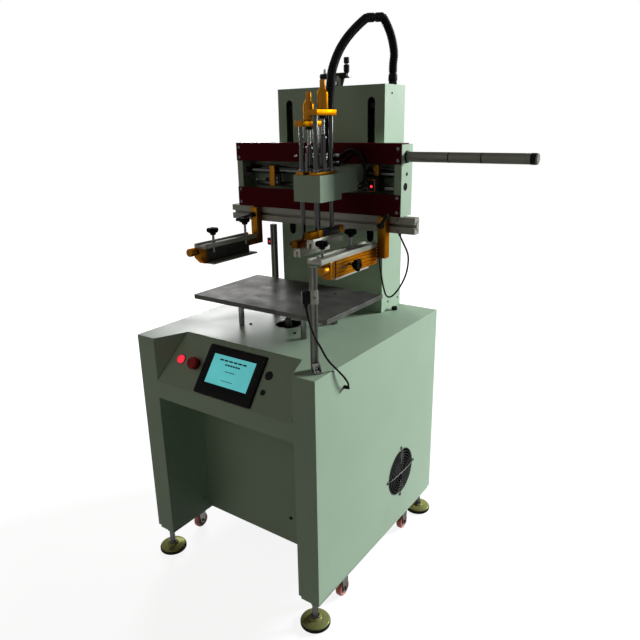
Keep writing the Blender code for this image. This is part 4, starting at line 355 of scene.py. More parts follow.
class Piece:
    """One piece of the machine: shapes joined in one mesh, each with its own finish."""

    def __init__(self, name):
        self.name, self.shape, self.finishes = name, bmesh.new(), []

    def add(self, shape, finish, place=None):
        """Join a shape to the piece, and free it."""
        if finish not in self.finishes:
            self.finishes.append(finish)
        if place is not None:
            shape.transform(place)
        if all(len(edge.link_faces) == 2 for edge in shape.edges):
            bmesh.ops.recalc_face_normals(shape, faces=shape.faces)
        for edge in shape.edges:
            edge.smooth = len(edge.link_faces) != 2 or edge.calc_face_angle(0) < SMOOTH
        for face in shape.faces:
            face.smooth = True
            face.material_index = self.finishes.index(finish)
        carrier = bpy.data.meshes.new("carrier")
        shape.to_mesh(carrier)
        shape.free()
        self.shape.from_mesh(carrier)
        bpy.data.meshes.remove(carrier)
        return self

    def screw(self, radius, finish, place, way):
        """Add a domed screw head that looks that way."""
        return self.add(button_screw(radius), finish, aim(place, way))

    def fit(self, pairs, place):
        """Add several shapes with their finishes at one place."""
        for shape, finish in pairs:
            self.add(shape, finish, place)
        return self

    def done(self, body, slot, *nodes):
        """Put the piece in the scene on its body; a body of None leaves it on no body."""
        self.shape.transform(at(MIDDLE, 0, 0))
        mesh = bpy.data.meshes.new(self.name)
        self.shape.to_mesh(mesh)
        self.shape.free()
        for finish in self.finishes:
            mesh.materials.append(bpy.data.materials[finish])
        obj = bpy.data.objects.new(self.name, mesh)
        bpy.context.scene.collection.objects.link(obj)
        if body:
            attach(obj, body)
        if nodes:
            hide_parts(*nodes)
        return obj


# Finishes

class Finish:
    """One finish: its shader and the nodes that give it grain, wear, painted edge highlights and relief."""

    def __init__(self, name):
        self.material = bpy.data.materials.new(name)
        self.material.use_nodes = True
        self.tree = self.material.node_tree
        self.shader = self.tree.nodes["Principled BSDF"]
        self.place = self.node("TexCoord").outputs["Object"]

    def node(self, kind, inputs=(), **settings):
        """A new shader node with its inputs set or linked."""
        made = self.tree.nodes.new("ShaderNode" + kind)
        for key, value in settings.items():
            setattr(made, key, value)
        for key, value in dict(inputs).items():
            self.set(made.inputs[key], value)
        return made

    def set(self, socket, value):
        """Link a socket into this one, or give it a value."""
        if isinstance(value, bpy.types.NodeSocket):
            self.tree.links.new(value, socket)
        else:
            socket.default_value = value

    def give(self, **values):
        """Set or link the shader's own sockets, named with underscores for spaces."""
        for key, value in values.items():
            self.set(self.shader.inputs[key.replace("_", " ")], value)
        return self

    def grain(self, scale, detail=3, stretch=(1, 1, 1)):
        """Noise of about scale features a metre, stretched along the axes with a small number."""
        place = self.node("Mapping", {"Vector": self.place, "Scale": [s * scale for s in stretch]})
        return self.node("TexNoise", {"Vector": place.outputs[0], "Scale": 1, "Detail": detail}).outputs[0]

    def spread(self, value, low, high, start=0.3, end=0.7):
        """The value from start to end, spread from low to high."""
        return self.node("MapRange", {"Value": value, "From Min": start, "From Max": end, "To Min": low,
                                      "To Max": high}).outputs[0]

    def mix(self, share, under, over):
        """A second colour over a first one; either may be linked."""
        mixer = self.node("Mix", data_type="RGBA")
        for k, value in ((0, share), (6, under), (7, over)):
            self.set(mixer.inputs[k], value if isinstance(value, bpy.types.NodeSocket) else (*value, 1))
        return mixer.outputs[2]

    def relief(self, height, depth, edge=0.0):
        """Bump of a depth in metres, over edges rounded by a bevel."""
        inputs = {"Height": height, "Distance": depth, "Strength": 1.0}
        if edge:
            inputs["Normal"] = self.node("Bevel", {"Radius": edge}, samples=6).outputs[0]
        return self.node("Bump", inputs).outputs[0]

    def edge_wear_and_highlight(self, radius, low=0.02, high=0.16):
        """1 on an outer edge, where a rounded normal leaves the flat one, and 0 on a face; the finishes use
        it to lighten edges as wear and as a painted highlight.
        """
        soft = self.node("Bevel", {"Radius": radius}, samples=6).outputs[0]
        flat = self.node("NewGeometry").outputs["True Normal"]
        same = self.node("VectorMath", {0: soft, 1: flat}, operation="DOT_PRODUCT").outputs["Value"]
        return self.spread(same, 1, 0, 1 - high, 1 - low)

    def product(self, first, second):
        """Two values multiplied."""
        return self.node("Math", {0: first, 1: second}, operation="MULTIPLY").outputs[0]


def shade(tone, share, lift=0):
    """A tone made lighter or darker."""
    return tuple(min(part * share + lift, 1) for part in tone)


def powder_coat(name, tone, roughness, sizes, shine_level=0.08):
    """Sheet metal powder coat: fine peel, faint clouding, edges lightened partly as rubbed wear and partly
    as a painted highlight, and a little shop dust.
    """
    coat = Finish(name)
    cloud = coat.spread(coat.grain(3.2), 0, 1)
    base = coat.mix(cloud, shade(tone, 0.94), shade(tone, 1.05))
    speck = coat.spread(coat.grain(520, 1), 0, 0.16)
    base = coat.mix(speck, base, shade(tone, 0.82))
    # Lighter edges: rubbed wear where the noise allows, and a painted highlight along the outer edges.
    rubbed_and_highlit_edges = coat.product(coat.edge_wear_and_highlight(sizes.edge), coat.spread(coat.grain(60), 0.1, 0.55))
    base = coat.mix(rubbed_and_highlit_edges, base, shade(tone, 1.25, 0.03))
    scuff = coat.spread(coat.grain(14, 6, (1, 1, 0.35)), 0, 0.22, 0.62, 0.8)
    base = coat.mix(scuff, base, shade(tone, 0.72))
    shine = coat.spread(coat.grain(7), roughness - 0.05, roughness + 0.07)
    peel = coat.relief(coat.grain(420, 2), sizes.peel, sizes.edge)
    return coat.give(Base_Color=base, Roughness=shine, Normal=peel, Specular_IOR_Level=shine_level)


def machined(name, tone, roughness, stretch, wear=0.12, edge=0.0005, grain=900, depth=0.00001, metallic=1.0,
             rim=(0.5, 0.5, 0.5)):
    """Metal with grain along the axis whose stretch is small; satin anodising is less metallic, and rim
    is the tint that a face seen at a low angle takes."""
    metal = Finish(name)
    lines = metal.grain(grain, 3, stretch)
    base = metal.mix(metal.spread(lines, 0, 1, 0.25, 0.75), shade(tone, 0.88), shade(tone, 1.08))
    base = metal.mix(metal.spread(metal.grain(18, 4), 0, wear), base, shade(tone, 0.55))
    # Lighter outer edges: a painted highlight, partly standing for worn bare metal.
    highlit_and_worn_edges = metal.product(metal.edge_wear_and_highlight(edge, 0.03, 0.25), 0.45)
    base = metal.mix(highlit_and_worn_edges, base, shade(tone, 0.7, 0.35))
    shine = metal.spread(metal.grain(26, 4), roughness - 0.07, roughness + 0.09)
    return metal.give(Base_Color=base, Roughness=shine, Metallic=metallic, Specular_IOR_Level=0.0,
                      Specular_Tint=(*rim, 1), Normal=metal.relief(lines, depth, edge))


def moulded(name, tone, roughness, grain=700, depth=0.00004, shine=0.04):
    """Moulded plastic or rubber with fine texture and dust in its hollows."""
    skin = Finish(name)
    fine = skin.grain(grain, 2)
    base = skin.mix(skin.spread(skin.grain(30, 4), 0, 1), tone, shade(tone, 1.25, 0.004))
    base = skin.mix(skin.spread(skin.grain(110, 5), 0, 0.1, 0.58, 0.75), base, (0.2, 0.2, 0.18))
    rough = skin.spread(skin.grain(40), roughness - 0.06, roughness + 0.1)
    return skin.give(Base_Color=base, Roughness=rough, Normal=skin.relief(fine, depth, 0.0004),
                     Specular_IOR_Level=shine)


def lit(name, tone, strength, roughness=0.2):
    """A lens or screen with light behind it, a little uneven."""
    glow = Finish(name)
    glow_tone = glow.mix(glow.spread(glow.grain(16), 0, 1), shade(tone, 0.9), shade(tone, 1.06))
    grid = glow.grain(1400, 1)
    return glow.give(Base_Color=glow.mix(grid, shade(tone, 0.1), shade(tone, 0.16)),
                     Emission_Color=glow_tone, Emission_Strength=strength, Roughness=roughness,
                     Specular_IOR_Level=0.15, Normal=glow.relief(grid, 0.00001))


def backdrop(name, lights):
    """White floor: lit by the lamps, with the rest of its brightness its own in the picture."""
    ground = Finish(name)
    tree, shader = ground.tree, ground.shader
    tone = ground.mix(ground.grain(6), (0.24, 0.24, 0.24), (0.26, 0.26, 0.26))
    ground.give(Base_Color=tone, Roughness=0.9, Specular_IOR_Level=0.0)
    rays = ground.node("LightPath").outputs
    seen = ground.node("Math", {0: rays["Is Camera Ray"], 1: rays["Is Glossy Ray"]}, operation="MAXIMUM")
    seen = ground.node("Math", {0: seen.outputs[0], 1: rays["Is Transmission Ray"]}, operation="MAXIMUM")
    reach = ground.node("VectorMath", {0: ground.place}, operation="LENGTH").outputs["Value"]
    glow_level = ground.spread(reach, lights.floor_glow, 1.0, GLOW_NEAR, GLOW_FAR)
    own = ground.node("Emission", {"Color": (1, 1, 1, 1), "Strength": glow_level})
    none = ground.node("Emission", {"Color": (1, 1, 1, 1), "Strength": 0})
    glow = ground.node("MixShader", {0: seen.outputs[0], 1: none.outputs[0], 2: own.outputs[0]})
    both = ground.node("AddShader", {0: shader.outputs[0], 1: glow.outputs[0]})
    tree.links.new(both.outputs[0], tree.nodes["Material Output"].inputs["Surface"])
    return ground


def make_finishes(colours, sizes, lights):
    """Make every material; the pieces ask for them by name."""
    powder_coat(GREEN, colours.cabinet_green, 0.42, sizes)
    powder_coat("dark_red_powder_coat", colours.cover_red, 0.4, sizes, 0.02)
    along_x, along_y, along_z = (0.02, 1, 1), (1, 0.02, 1), (1, 1, 0.02)
    golden = {"rim": (1.0, 0.5, 0.08), "metallic": 0.8}
    satin = {"metallic": 0.14}
    machined("gold_anodised_along", colours.gold, 0.4, along_y, **golden)
    machined(GOLD_PLATE, colours.gold, 0.38, along_x, **golden)
    machined("gold_turned", colours.gold, 0.33, (1, 1, 0.15), **golden)
    machined("silver_beam", colours.silver, 0.4, along_x, 0.22, **satin)
    machined("silver_rail", shade(colours.silver, 1.35), 0.34, along_y, 0.18, **satin)
    machined("blade_holder_rail", shade(colours.silver, 1.9), 0.34, along_y, 0.12, **satin)
    # A darker copy of the gold anodising: painted shade for the bars' front blocks.
    machined("bronzed_block", shade(colours.gold, 0.4), 0.4, along_x, **golden)
    machined("silver_post", shade(colours.silver, 0.9), 0.38, along_z, 0.15, **satin)
    machined("cylinder_tube", shade(colours.silver, 0.7), 0.4, along_x, 0.06, **satin)
    machined("grey_steel_plate", shade(colours.silver, 0.34), 0.42, along_y, 0.35, metallic=0.08)
    machined(ROD, shade(colours.steel, 0.2), 0.16, (1, 1, 0.3), 0.1, depth=0.000004, rim=(1, 1, 1))
    machined("polished_barrel", shade(colours.steel, 0.14), 0.14, along_z, 0.05, depth=0.000001,
             rim=(1, 1, 1))
    machined(NICKEL, shade(colours.steel, 0.75), 0.24, (1, 1, 1), 0.12)
    machined("worktable_plate", colours.table, 0.36, along_x, 0.9, 0.0008, 260, 0.0001, 0.24,
             (0.5, 0.5, 0.5))
    machined("yellow_zinc", colours.zinc, 0.28, (1, 1, 1), 0.25, 0.0005, 300, metallic=0.12,
             rim=(0.9, 1.0, 0.5))
    machined(DARK, shade(colours.steel, 0.3), 0.34, (1, 1, 1), 0.3)
    # Matt black of the fan's frame and knobs, also used as painted shade in the end plate's holes.
    moulded("vent_black", shade(colours.black, 0.3), 0.6, shine=0.01)
    machined("guard_wire_dark", shade(colours.steel, 0.3), 0.2, (1, 1, 1), 0.1)
    moulded(BLACK, colours.black, 0.42)
    moulded("black_rubber", shade(colours.black, 1.3), 0.62, 500)
    moulded("foot_rubber", (0.014, 0.019, 0.01), 0.5, 500)
    moulded("ribbed_hose_black", colours.black, 0.4, 900)
    moulded("cable_black", colours.black, 0.38, 1200, 0.00002)
    moulded("gloss_bezel", shade(colours.black, 0.35), 0.14, 300, 0.000004, 0.03)
    moulded("red_tyre", colours.tyre, 0.4, 500)
    moulded("stop_cap_red", colours.stop_red, 0.24, 400, 0.00001, 0.08)
    moulded("stop_collar_red", shade(colours.stop_red, 0.35), 0.35)
    moulded("grey_collar", (0.25, 0.25, 0.26), 0.35)
    moulded("screen_mark", shade(colours.screen, 0.1), 0.3)
    moulded("amber_lens", (0.3, 0.075, 0.012), 0.25, 300, 0.00001, 0.3)
    moulded("hose_black", (0.008, 0.008, 0.009), 0.25, 500, 0.00001, 0.03)
    lit("screen_light", colours.screen, 1.0, 0.12)
    lit("start_lamp", colours.lamp, 1.35)
    lit("sensor_lamp", colours.lamp, 3.0)
    backdrop("studio_floor", lights)


# Camera and studio: turns in degrees (yaw, pitch, roll), the photograph's lens and middle in its pixels

CAMERA_PLACE, CAMERA_TURN = (1.0234, -1.33375, 1.25033), (35.0, -17.86, -0.93)
PHOTO_SIDE, PHOTO_LENS, PHOTO_MIDDLE, SENSOR = 640, 605.68, (319.94, 319.65), 36
FLOOR_HALF, FLOOR_GAP = 14, 0.0002
GLOW_NEAR, GLOW_FAR = 0.9, 2.6  # metres from the middle over which the floor turns into the backdrop
LAMPS = (  # name, place, what it looks at, side, tone
    ("key", (3.9, 5.7, 2.75), (0, 0, 0.75), 2.2, (0.97, 1.0, 0.99)),
    ("fill", (-1.6, -3.4, 2.2), (0, 0, 0.8), 3.0, (1.0, 0.84, 0.72)),
    ("window", (-2.8, 2.5, 1.85), (-0.1, 0, 0.75), 1.3, (1.0, 0.98, 1.0)),
)


def place_camera():
    """The photograph's view: where it stands, how it is turned, and its lens for a square picture."""
    yaw, pitch, roll = (math.radians(angle) for angle in CAMERA_TURN)
    way = Vector((-math.sin(yaw) * math.cos(pitch), math.cos(yaw) * math.cos(pitch), math.sin(pitch)))
    right = Vector((math.cos(yaw), math.sin(yaw), 0))
    up = right.cross(way)
    right, up = (math.cos(roll) * right + math.sin(roll) * up, math.cos(roll) * up - math.sin(roll) * right)
    camera = bpy.data.objects.new("camera", bpy.data.cameras.new("camera"))
    turn = Matrix((right, up, -way)).transposed().to_4x4()
    camera.matrix_world = at(CAMERA_PLACE[0] + MIDDLE, *CAMERA_PLACE[1:]) @ turn
    camera.data.sensor_width = SENSOR
    camera.data.lens = PHOTO_LENS / PHOTO_SIDE * SENSOR
    camera.data.shift_x = (PHOTO_SIDE / 2 - PHOTO_MIDDLE[0]) / PHOTO_SIDE
    camera.data.shift_y = (PHOTO_MIDDLE[1] - PHOTO_SIDE / 2) / PHOTO_SIDE
    bpy.context.scene.collection.objects.link(camera)
    bpy.context.scene.camera = camera


def area_lamp(name, place, target, size, power, tone):
    """A square lamp that looks at its target."""
    lamp = bpy.data.lights.new(name, "AREA")
    lamp.shape, lamp.size, lamp.energy, lamp.color = "SQUARE", size, power, tone
    obj = bpy.data.objects.new(name, lamp)
    obj.location = place
    obj.rotation_euler = (Vector(target) - Vector(place)).to_track_quat("-Z", "Y").to_euler()
    bpy.context.scene.collection.objects.link(obj)


def make_studio(lights):
    """The floor, the lamps, and the white background that only the picture sees."""
    bpy.context.scene.view_settings.view_transform = "Standard"
    shape = bmesh.new()
    bmesh.ops.create_grid(shape, x_segments=8, y_segments=8, size=FLOOR_HALF)
    shape.transform(at(0, 0, FLOOR_Z - FLOOR_GAP))
    mesh = bpy.data.meshes.new("floor")
    shape.to_mesh(mesh)
    shape.free()
    mesh.materials.append(bpy.data.materials["studio_floor"])
    floor = bpy.data.objects.new("floor", mesh)
    bpy.context.scene.collection.objects.link(floor)
    for name, place, target, size, tone in LAMPS:
        area_lamp(f"{name}_lamp", place, target, size, getattr(lights, name), tone)
    world = bpy.data.worlds.new("studio")
    world.use_nodes = True
    bpy.context.scene.world = world
    tree = world.node_tree
    rays = tree.nodes.new("ShaderNodeLightPath").outputs
    room, white = tree.nodes["Background"], tree.nodes.new("ShaderNodeBackground")
    room.inputs["Color"].default_value = (1.0, 0.92, 0.84, 1)
    room.inputs["Strength"].default_value = lights.room
    white.inputs["Color"].default_value = (1, 1, 1, 1)
    white.inputs["Strength"].default_value = lights.backdrop
    seen = rays["Is Camera Ray"]
    for kind in ("Is Glossy Ray", "Is Transmission Ray"):
        either = tree.nodes.new("ShaderNodeMath")
        either.operation = "MAXIMUM"
        tree.links.new(seen, either.inputs[0])
        tree.links.new(rays[kind], either.inputs[1])
        seen = either.outputs[0]
    mixer = tree.nodes.new("ShaderNodeMixShader")
    tree.links.new(seen, mixer.inputs[0])
    tree.links.new(room.outputs[0], mixer.inputs[1])
    tree.links.new(white.outputs[0], mixer.inputs[2])
    tree.links.new(mixer.outputs[0], tree.nodes["World Output"].inputs["Surface"])


# Conduit, cables and air hoses

CONDUIT_START, CONDUIT_END = Vector((0.154, 0.283, COLUMN_TOP + 0.0293)), Vector((0.1, 0.036, 1.1453))
CONDUIT_TOP = Vector((0.1171, 0.242, 1.524))
CONDUIT_TOP_WAY = Vector((-0.0325, -0.054, -0.0054)).normalized()
HALF_GAP = 0.00015  # half of what is left between the conduit's two lengths
CONDUIT_UP = ((0.1561, 0.283, 1.438), (0.1465, 0.278, 1.485))
CONDUIT_DOWN = ((0.084, 0.175, 1.4824), (0.0721, 0.138, 1.4403), (0.0709, 0.105, 1.3934),
                (0.0791, 0.082, 1.3568), (0.0927, 0.052, 1.2859), (0.0985, 0.04, 1.215))
LOOP = ((0.272, 0.141, 0.94), (0.284, 0.146, 0.9114), (0.285, 0.15, 0.8854), (0.2768, 0.155, 0.8493),
        (0.2596, 0.16, 0.8142), (0.2386, 0.163, 0.785), (0.222, 0.163, 0.772), (0.211, 0.16, 0.779),
        (0.2045, 0.155, 0.8078), (0.2001, 0.15, 0.8437), (0.1975, 0.145, 0.882), (0.199, 0.141, 0.925))
LEAD = ((0.2531, -0.284, 0.847), (0.2582, -0.284, 0.829), (0.2658, -0.2835, 0.809),
        (0.2755, -0.281, 0.7868), (0.285, -0.274, 0.763), (0.293, -0.261, 0.734), (0.306, -0.242, 0.706),
        (0.313, -0.22, 0.6784), (0.314, -0.206, 0.657))
STRAIGHT, CABLE_STRAIGHT, UP = 0.024, 0.006, Vector((0, 0, 1))


def smooth_route(route, count):
    """Points spaced evenly along a smooth curve through the route, whose two end legs stay straight."""
    route = [Vector(place) for place in route]
    fine = []
    for a, b, c, d in zip(route, route[1:], route[2:], route[3:]):
        for i in range(SPLINE_STEPS):
            t = i / SPLINE_STEPS
            fine.append((2 * b + (c - a) * t + (2 * a - 5 * b + 4 * c - d) * t ** 2
                         + (3 * b - a - 3 * c + d) * t ** 3) / 2)
    fine.append(route[-2])
    lengths = [0]
    for a, b in zip(fine, fine[1:]):
        lengths.append(lengths[-1] + (b - a).length)
    points, k = [route[0]], 0
    for i in range(count):
        want = lengths[-1] * i / (count - 1)
        while k < len(fine) - 2 and lengths[k + 1] < want:
            k += 1
        share = (want - lengths[k]) / (lengths[k + 1] - lengths[k])
        points.append(fine[k].lerp(fine[k + 1], min(share, 1)))
    return [*points, route[-1]]


def route_length(points):
    """The length along the points."""
    return sum((b - a).length for a, b in zip(points, points[1:]))


def along(points, distance):
    """The place and the direction at a distance along the points."""
    for a, b in zip(points, points[1:]):
        step = (b - a).length
        if distance <= step:
            return a.lerp(b, distance / step), (b - a).normalized()
        distance -= step
    return points[-1], (points[-1] - points[-2]).normalized()


def ribbed_hose(name, points, sizes, plain=0.003):
    """A corrugated conduit: round ribs at an even pitch between short plain ends."""
    total = route_length(points)
    count = max(int((total - 2 * plain) / sizes.rib_pitch), 4)
    pitch = (total - 2 * plain) / count
    low, high = sizes.conduit_root, sizes.conduit
    stations, radii = [points[0]], [low]
    for i in range(count):
        for share, reach in ((0.0, 0.0), (0.16, 0.55), (0.34, 1.0), (0.62, 1.0), (0.8, 0.55), (0.96, 0.0)):
            stations.append(along(points, plain + (i + share) * pitch)[0])
            radii.append(low + (high - low) * reach)
    stations.append(points[-1])
    radii.append(low)
    return Piece(name).add(tube(stations, radii, 28), "ribbed_hose_black")


def make_conduits(sizes):
    """The ribbed conduit in two lengths, from the column's gland to the carriage."""
    route = smooth_route([CONDUIT_START, CONDUIT_START + UP * STRAIGHT, *CONDUIT_UP,
                          CONDUIT_TOP - CONDUIT_TOP_WAY * STRAIGHT,
                          CONDUIT_TOP - CONDUIT_TOP_WAY * HALF_GAP], 96)
    outer = ribbed_hose("conduit_from_column", route, sizes).done(None, "black_plastic", "conduit_outer")
    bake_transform(outer)
    route = smooth_route([CONDUIT_TOP + CONDUIT_TOP_WAY * HALF_GAP,
                          CONDUIT_TOP + CONDUIT_TOP_WAY * STRAIGHT, *CONDUIT_DOWN,
                          CONDUIT_END + UP * STRAIGHT, CONDUIT_END], 200)
    inner = ribbed_hose("conduit_to_carriage", route, sizes).done(None, "black_plastic", "conduit_inner")
    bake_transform(inner)


def make_cables(sizes):
    """The loop that hangs from the beam and the front sensor's cable, with their ends."""
    under = UP * (BEAM_UNDER - 0.0003)
    start, end = Vector((0.262, 0.14, 0)) + under, Vector((0.201, 0.14, 0)) + under
    drop = UP * CABLE_STRAIGHT
    points = smooth_route([start, start - drop, *LOOP, end - drop, end], 60)
    piece = Piece("hanging_cable_loop").add(tube(points, sizes.cable / 2), "cable_black")
    piece.done("head", "black_plastic", "loop_cable")
    start, end = Vector((0.2499, -0.2831, 0.8677)), Vector((0.3003, -0.203, 0.647))
    out = Vector((CABLE_STRAIGHT, 0, 0))
    points = smooth_route([start, start - drop, *LEAD, end + out, end], 50)
    piece = Piece("front_sensor_cable").add(tube(points, sizes.cable / 2), "cable_black")
    piece.done("machine", "black_plastic", "sensor_cable")
    bore = sizes.cable / 2 + 0.0001
    reliefs = Piece("cable_strain_reliefs")
    for place, way, reach in ((end, RIGHT, 0.014), (start, DOWN, 0.01)):
        reliefs.add(softened([(bore, 0), (0.0048, 0), (0.0045, reach * 0.3), (bore + 0.0005, reach),
                              (bore, reach), (bore, 0)], 0.0005, 24), "black_rubber", aim(place, way))
    reliefs.done("machine", "black_plastic")
    reliefs = Piece("loop_strain_reliefs")
    for x in (0.262, 0.201):
        reliefs.add(softened([(bore, 0), (0.0048, 0), (0.0044, 0.003), (bore + 0.0005, 0.008),
                              (bore, 0.008), (bore, 0)], 0.0005, 24), "black_rubber",
                    aim(Vector((x, 0.14, 0)) + under, DOWN))
    reliefs.done("head", "black_plastic")


FITTINGS = (Vector((0.079, 0.1105, 1.168)), Vector((0.079, 0.1105, 1.15)))


def make_air_hoses(sizes):
    """Hoses from the carriage's fittings, over to its right and back under its housing."""
    routes = (("air_hose_upper", ((0.087, 0.11, 1.168), (0.095, 0.11, 1.17), (0.108, 0.108, 1.179),
                                  (0.127, 0.105, 1.185), (0.148, 0.103, 1.18), (0.164, 0.102, 1.164),
                                  (0.172, 0.102, 1.14), (0.174, 0.102, 1.115), (0.171, 0.101, 1.094),
                                  (0.161, 0.099, 1.085), (0.156, 0.098, 1.085), (0.1515, 0.098, 1.085))),
              ("air_hose_lower", ((0.087, 0.11, 1.15), (0.095, 0.11, 1.1515), (0.108, 0.11, 1.16),
                                  (0.125, 0.109, 1.172), (0.145, 0.109, 1.172), (0.16, 0.108, 1.157),
                                  (0.167, 0.108, 1.138), (0.169, 0.108, 1.12), (0.166, 0.108, 1.104),
                                  (0.159, 0.107, 1.096), (0.156, 0.106, 1.095), (0.1515, 0.106, 1.095))))
    for name, route in routes:
        points = smooth_route(route, 48)
        hose = Piece(name).add(tube(points, sizes.hose / 2), "hose_black")
        hose.done("carriage", "black_plastic")


# The machine's pieces

CAD_FINISHES = {
    "cabinet": GREEN, "column": GREEN, "control_panel": GREEN,
    "head_frame": GREEN, "rear_door": GREEN, "carriage": GREEN,
    "upper_cover": "dark_red_powder_coat", "lower_cover": "dark_red_powder_coat",
    "clamp_beam": "silver_beam", "worktable": "worktable_plate", "table_frame": NICKEL,
    # Black moulding on the lift guides is painted shade, so that the column's slots look dark where the
    # guides show.
    "lift_guides": BLACK, "lift_crosshead": "grey_steel_plate",
}


def finish_sheet_metal():
    """Give the CAD's own plates and folded sheets their finishes."""
    for name, finish in CAD_FINISHES.items():
        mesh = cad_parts[name].data
        mesh.materials.clear()
        mesh.materials.append(bpy.data.materials[finish])


FOOT_X, FOOT_Y = 0.271, 0.302
WHEEL_X, WHEEL_Y, WHEEL_AXLE = 0.275, 0.178, 0.026
UNITS = (("flood", 0.131, 0.0), ("squeegee", 0.088, 0.026))  # name, place across, how far it is lowered


def make_foot(end, sy, side, sx):
    """A levelling foot: rubber, zinc disc, nuts and threaded stem."""
    place = at(sx * FOOT_X, sy * FOOT_Y, FLOOR_Z)
    foot = Piece(f"levelling_foot_{end}_{side}")
    foot.add(softened([(0, 0), (0.038, 0), (0.0399, 0.0022), (0.0399, 0.0092), (0.0386, 0.0106),
                       (0, 0.0106)], 0.0009, 72), "foot_rubber", place)
    foot.add(softened([(0, 0.0098), (0.038, 0.0098), (0.0386, 0.0118), (0.036, 0.0136), (0.024, 0.0166),
                       (0.0165, 0.0176), (0.0152, 0.0206), (0.01, 0.0218), (0, 0.0218)], 0.0011, 72),
             "yellow_zinc", place)
    foot.add(nut(0.0108, 0.0078), DARK, place @ aim((0, 0, 0.0186)))
    foot.add(round_bar(0.0072, 0.022, 0.0868, 0.0008), DARK, place)
    foot.add(thread(0.0079, 0.027, 0.0864), DARK, place)
    foot.add(nut(0.0118, 0.0072), DARK, place @ aim((0, 0, 0.0664), spin=0.4))
    foot.add(round_bar(0.0136, 0.0738, 0.0753, 0.0004), NICKEL, place)
    foot.done(f"foot_{end}_{side}", "zinc_plate", f"foot_{end}_{side}")


def make_wheel(end, sy, side, sx):
    """A caster's wheel: tyre and hub."""
    wheel = Piece(f"caster_wheel_{end}_{side}")
    place = aim((sx * WHEEL_X, sy * WHEEL_Y, FLOOR_Z + WHEEL_AXLE), RIGHT)
    tyre = [(0.0166, -0.0088), (0.0208, -0.0088), (0.0238, -0.006), (0.024, 0.0), (0.0238, 0.006),
            (0.0208, 0.0088), (0.0166, 0.0088), (0.0166, -0.0088)]
    hub = [(0.0047, -0.0088), (0.0085, -0.0088), (0.0095, -0.0068), (0.015, -0.0064), (0.0172, -0.008),
           (0.0172, 0.008), (0.015, 0.0064), (0.0095, 0.0068), (0.0085, 0.0088), (0.0047, 0.0088),
           (0.0047, -0.0088)]
    wheel.add(softened(tyre, 0.0016, 64), "red_tyre", place)
    wheel.add(softened(hub, 0.0008, 64), "grey_collar", place)
    wheel.done(f"wheel_{end}_{side}", "red_tyre", f"wheel_{end}_{side}")


def make_underframe():
    """Rails under the cabinet, with a pressed fork for each caster."""
    rails = Piece("underframe")
    low, high = 0.0757, 0.0877
    outer, inner, front, back = 0.296, 0.24, CABINET_FRONT + 0.004, -CABINET_FRONT - 0.004
    rails.add(slab([(-outer, front), (-inner, front), (-inner, back - 0.062), (inner, back - 0.062),
                    (inner, front), (outer, front), (outer, back), (-outer, back)], "Z", low, high, 0.0012),
              GREEN)
    axle = WHEEL_AXLE
    for x in (-WHEEL_X, WHEEL_X):
        for y in (-WHEEL_Y, WHEEL_Y):
            rails.add(block((x - 0.0175, y - 0.016, 0.0715), (x + 0.0175, y + 0.016, 0.076), 0.001), DARK)
            rails.add(round_bar(0.0105, 0.064, 0.072, 0.001), DARK, at(x, y, 0))
            cheek = [(y - 0.0125, 0.0665), (y - 0.0125, axle + 0.02), (y - 0.0085, axle),
                     (y - 0.006, axle - 0.0065), (y, axle - 0.0085), (y + 0.006, axle - 0.0065),
                     (y + 0.0085, axle), (y + 0.0125, axle + 0.02), (y + 0.0125, 0.0665)]
            for near, far in ((-0.0118, -0.0094), (0.0094, 0.0118)):
                rails.add(slab(cheek, "X", x + near, x + far, 0.0005), NICKEL)
            rails.add(block((x - 0.0118, y - 0.0125, 0.064), (x + 0.0118, y + 0.0125, 0.0666), 0.0006),
                      NICKEL)
            rails.add(round_bar(0.004, -0.0112, 0.0112, 0.0003), ROD, aim((x, y, axle), RIGHT))
            for way in (-1, 1):
                rails.add(nut(0.0048, 0.0036), ROD, aim((x + way * 0.0117, y, axle), (way, 0, 0)))
    rails.done("machine", "dark_paint", "base_frame")


def make_feet_and_wheels():
    """The underframe, with a foot and a wheel at each corner."""
    make_underframe()
    for end, sy in (("front", -1), ("rear", 1)):
        for side, sx in SIDES:
            make_foot(end, sy, side, sx)
            make_wheel(end, sy, side, sx)


def console_place(across=0.0, up=0.0, out=0.0):
    """A place on the sloping console: across it, up it, and out from its sheet's inner face."""
    slope = math.atan2(CONSOLE_DROP, CONSOLE_SET_BACK)
    return (at(0, CABINET_FRONT, CONSOLE_LOW_Z) @ Matrix.Rotation(slope, 4, "X") @ at(across, up, out))


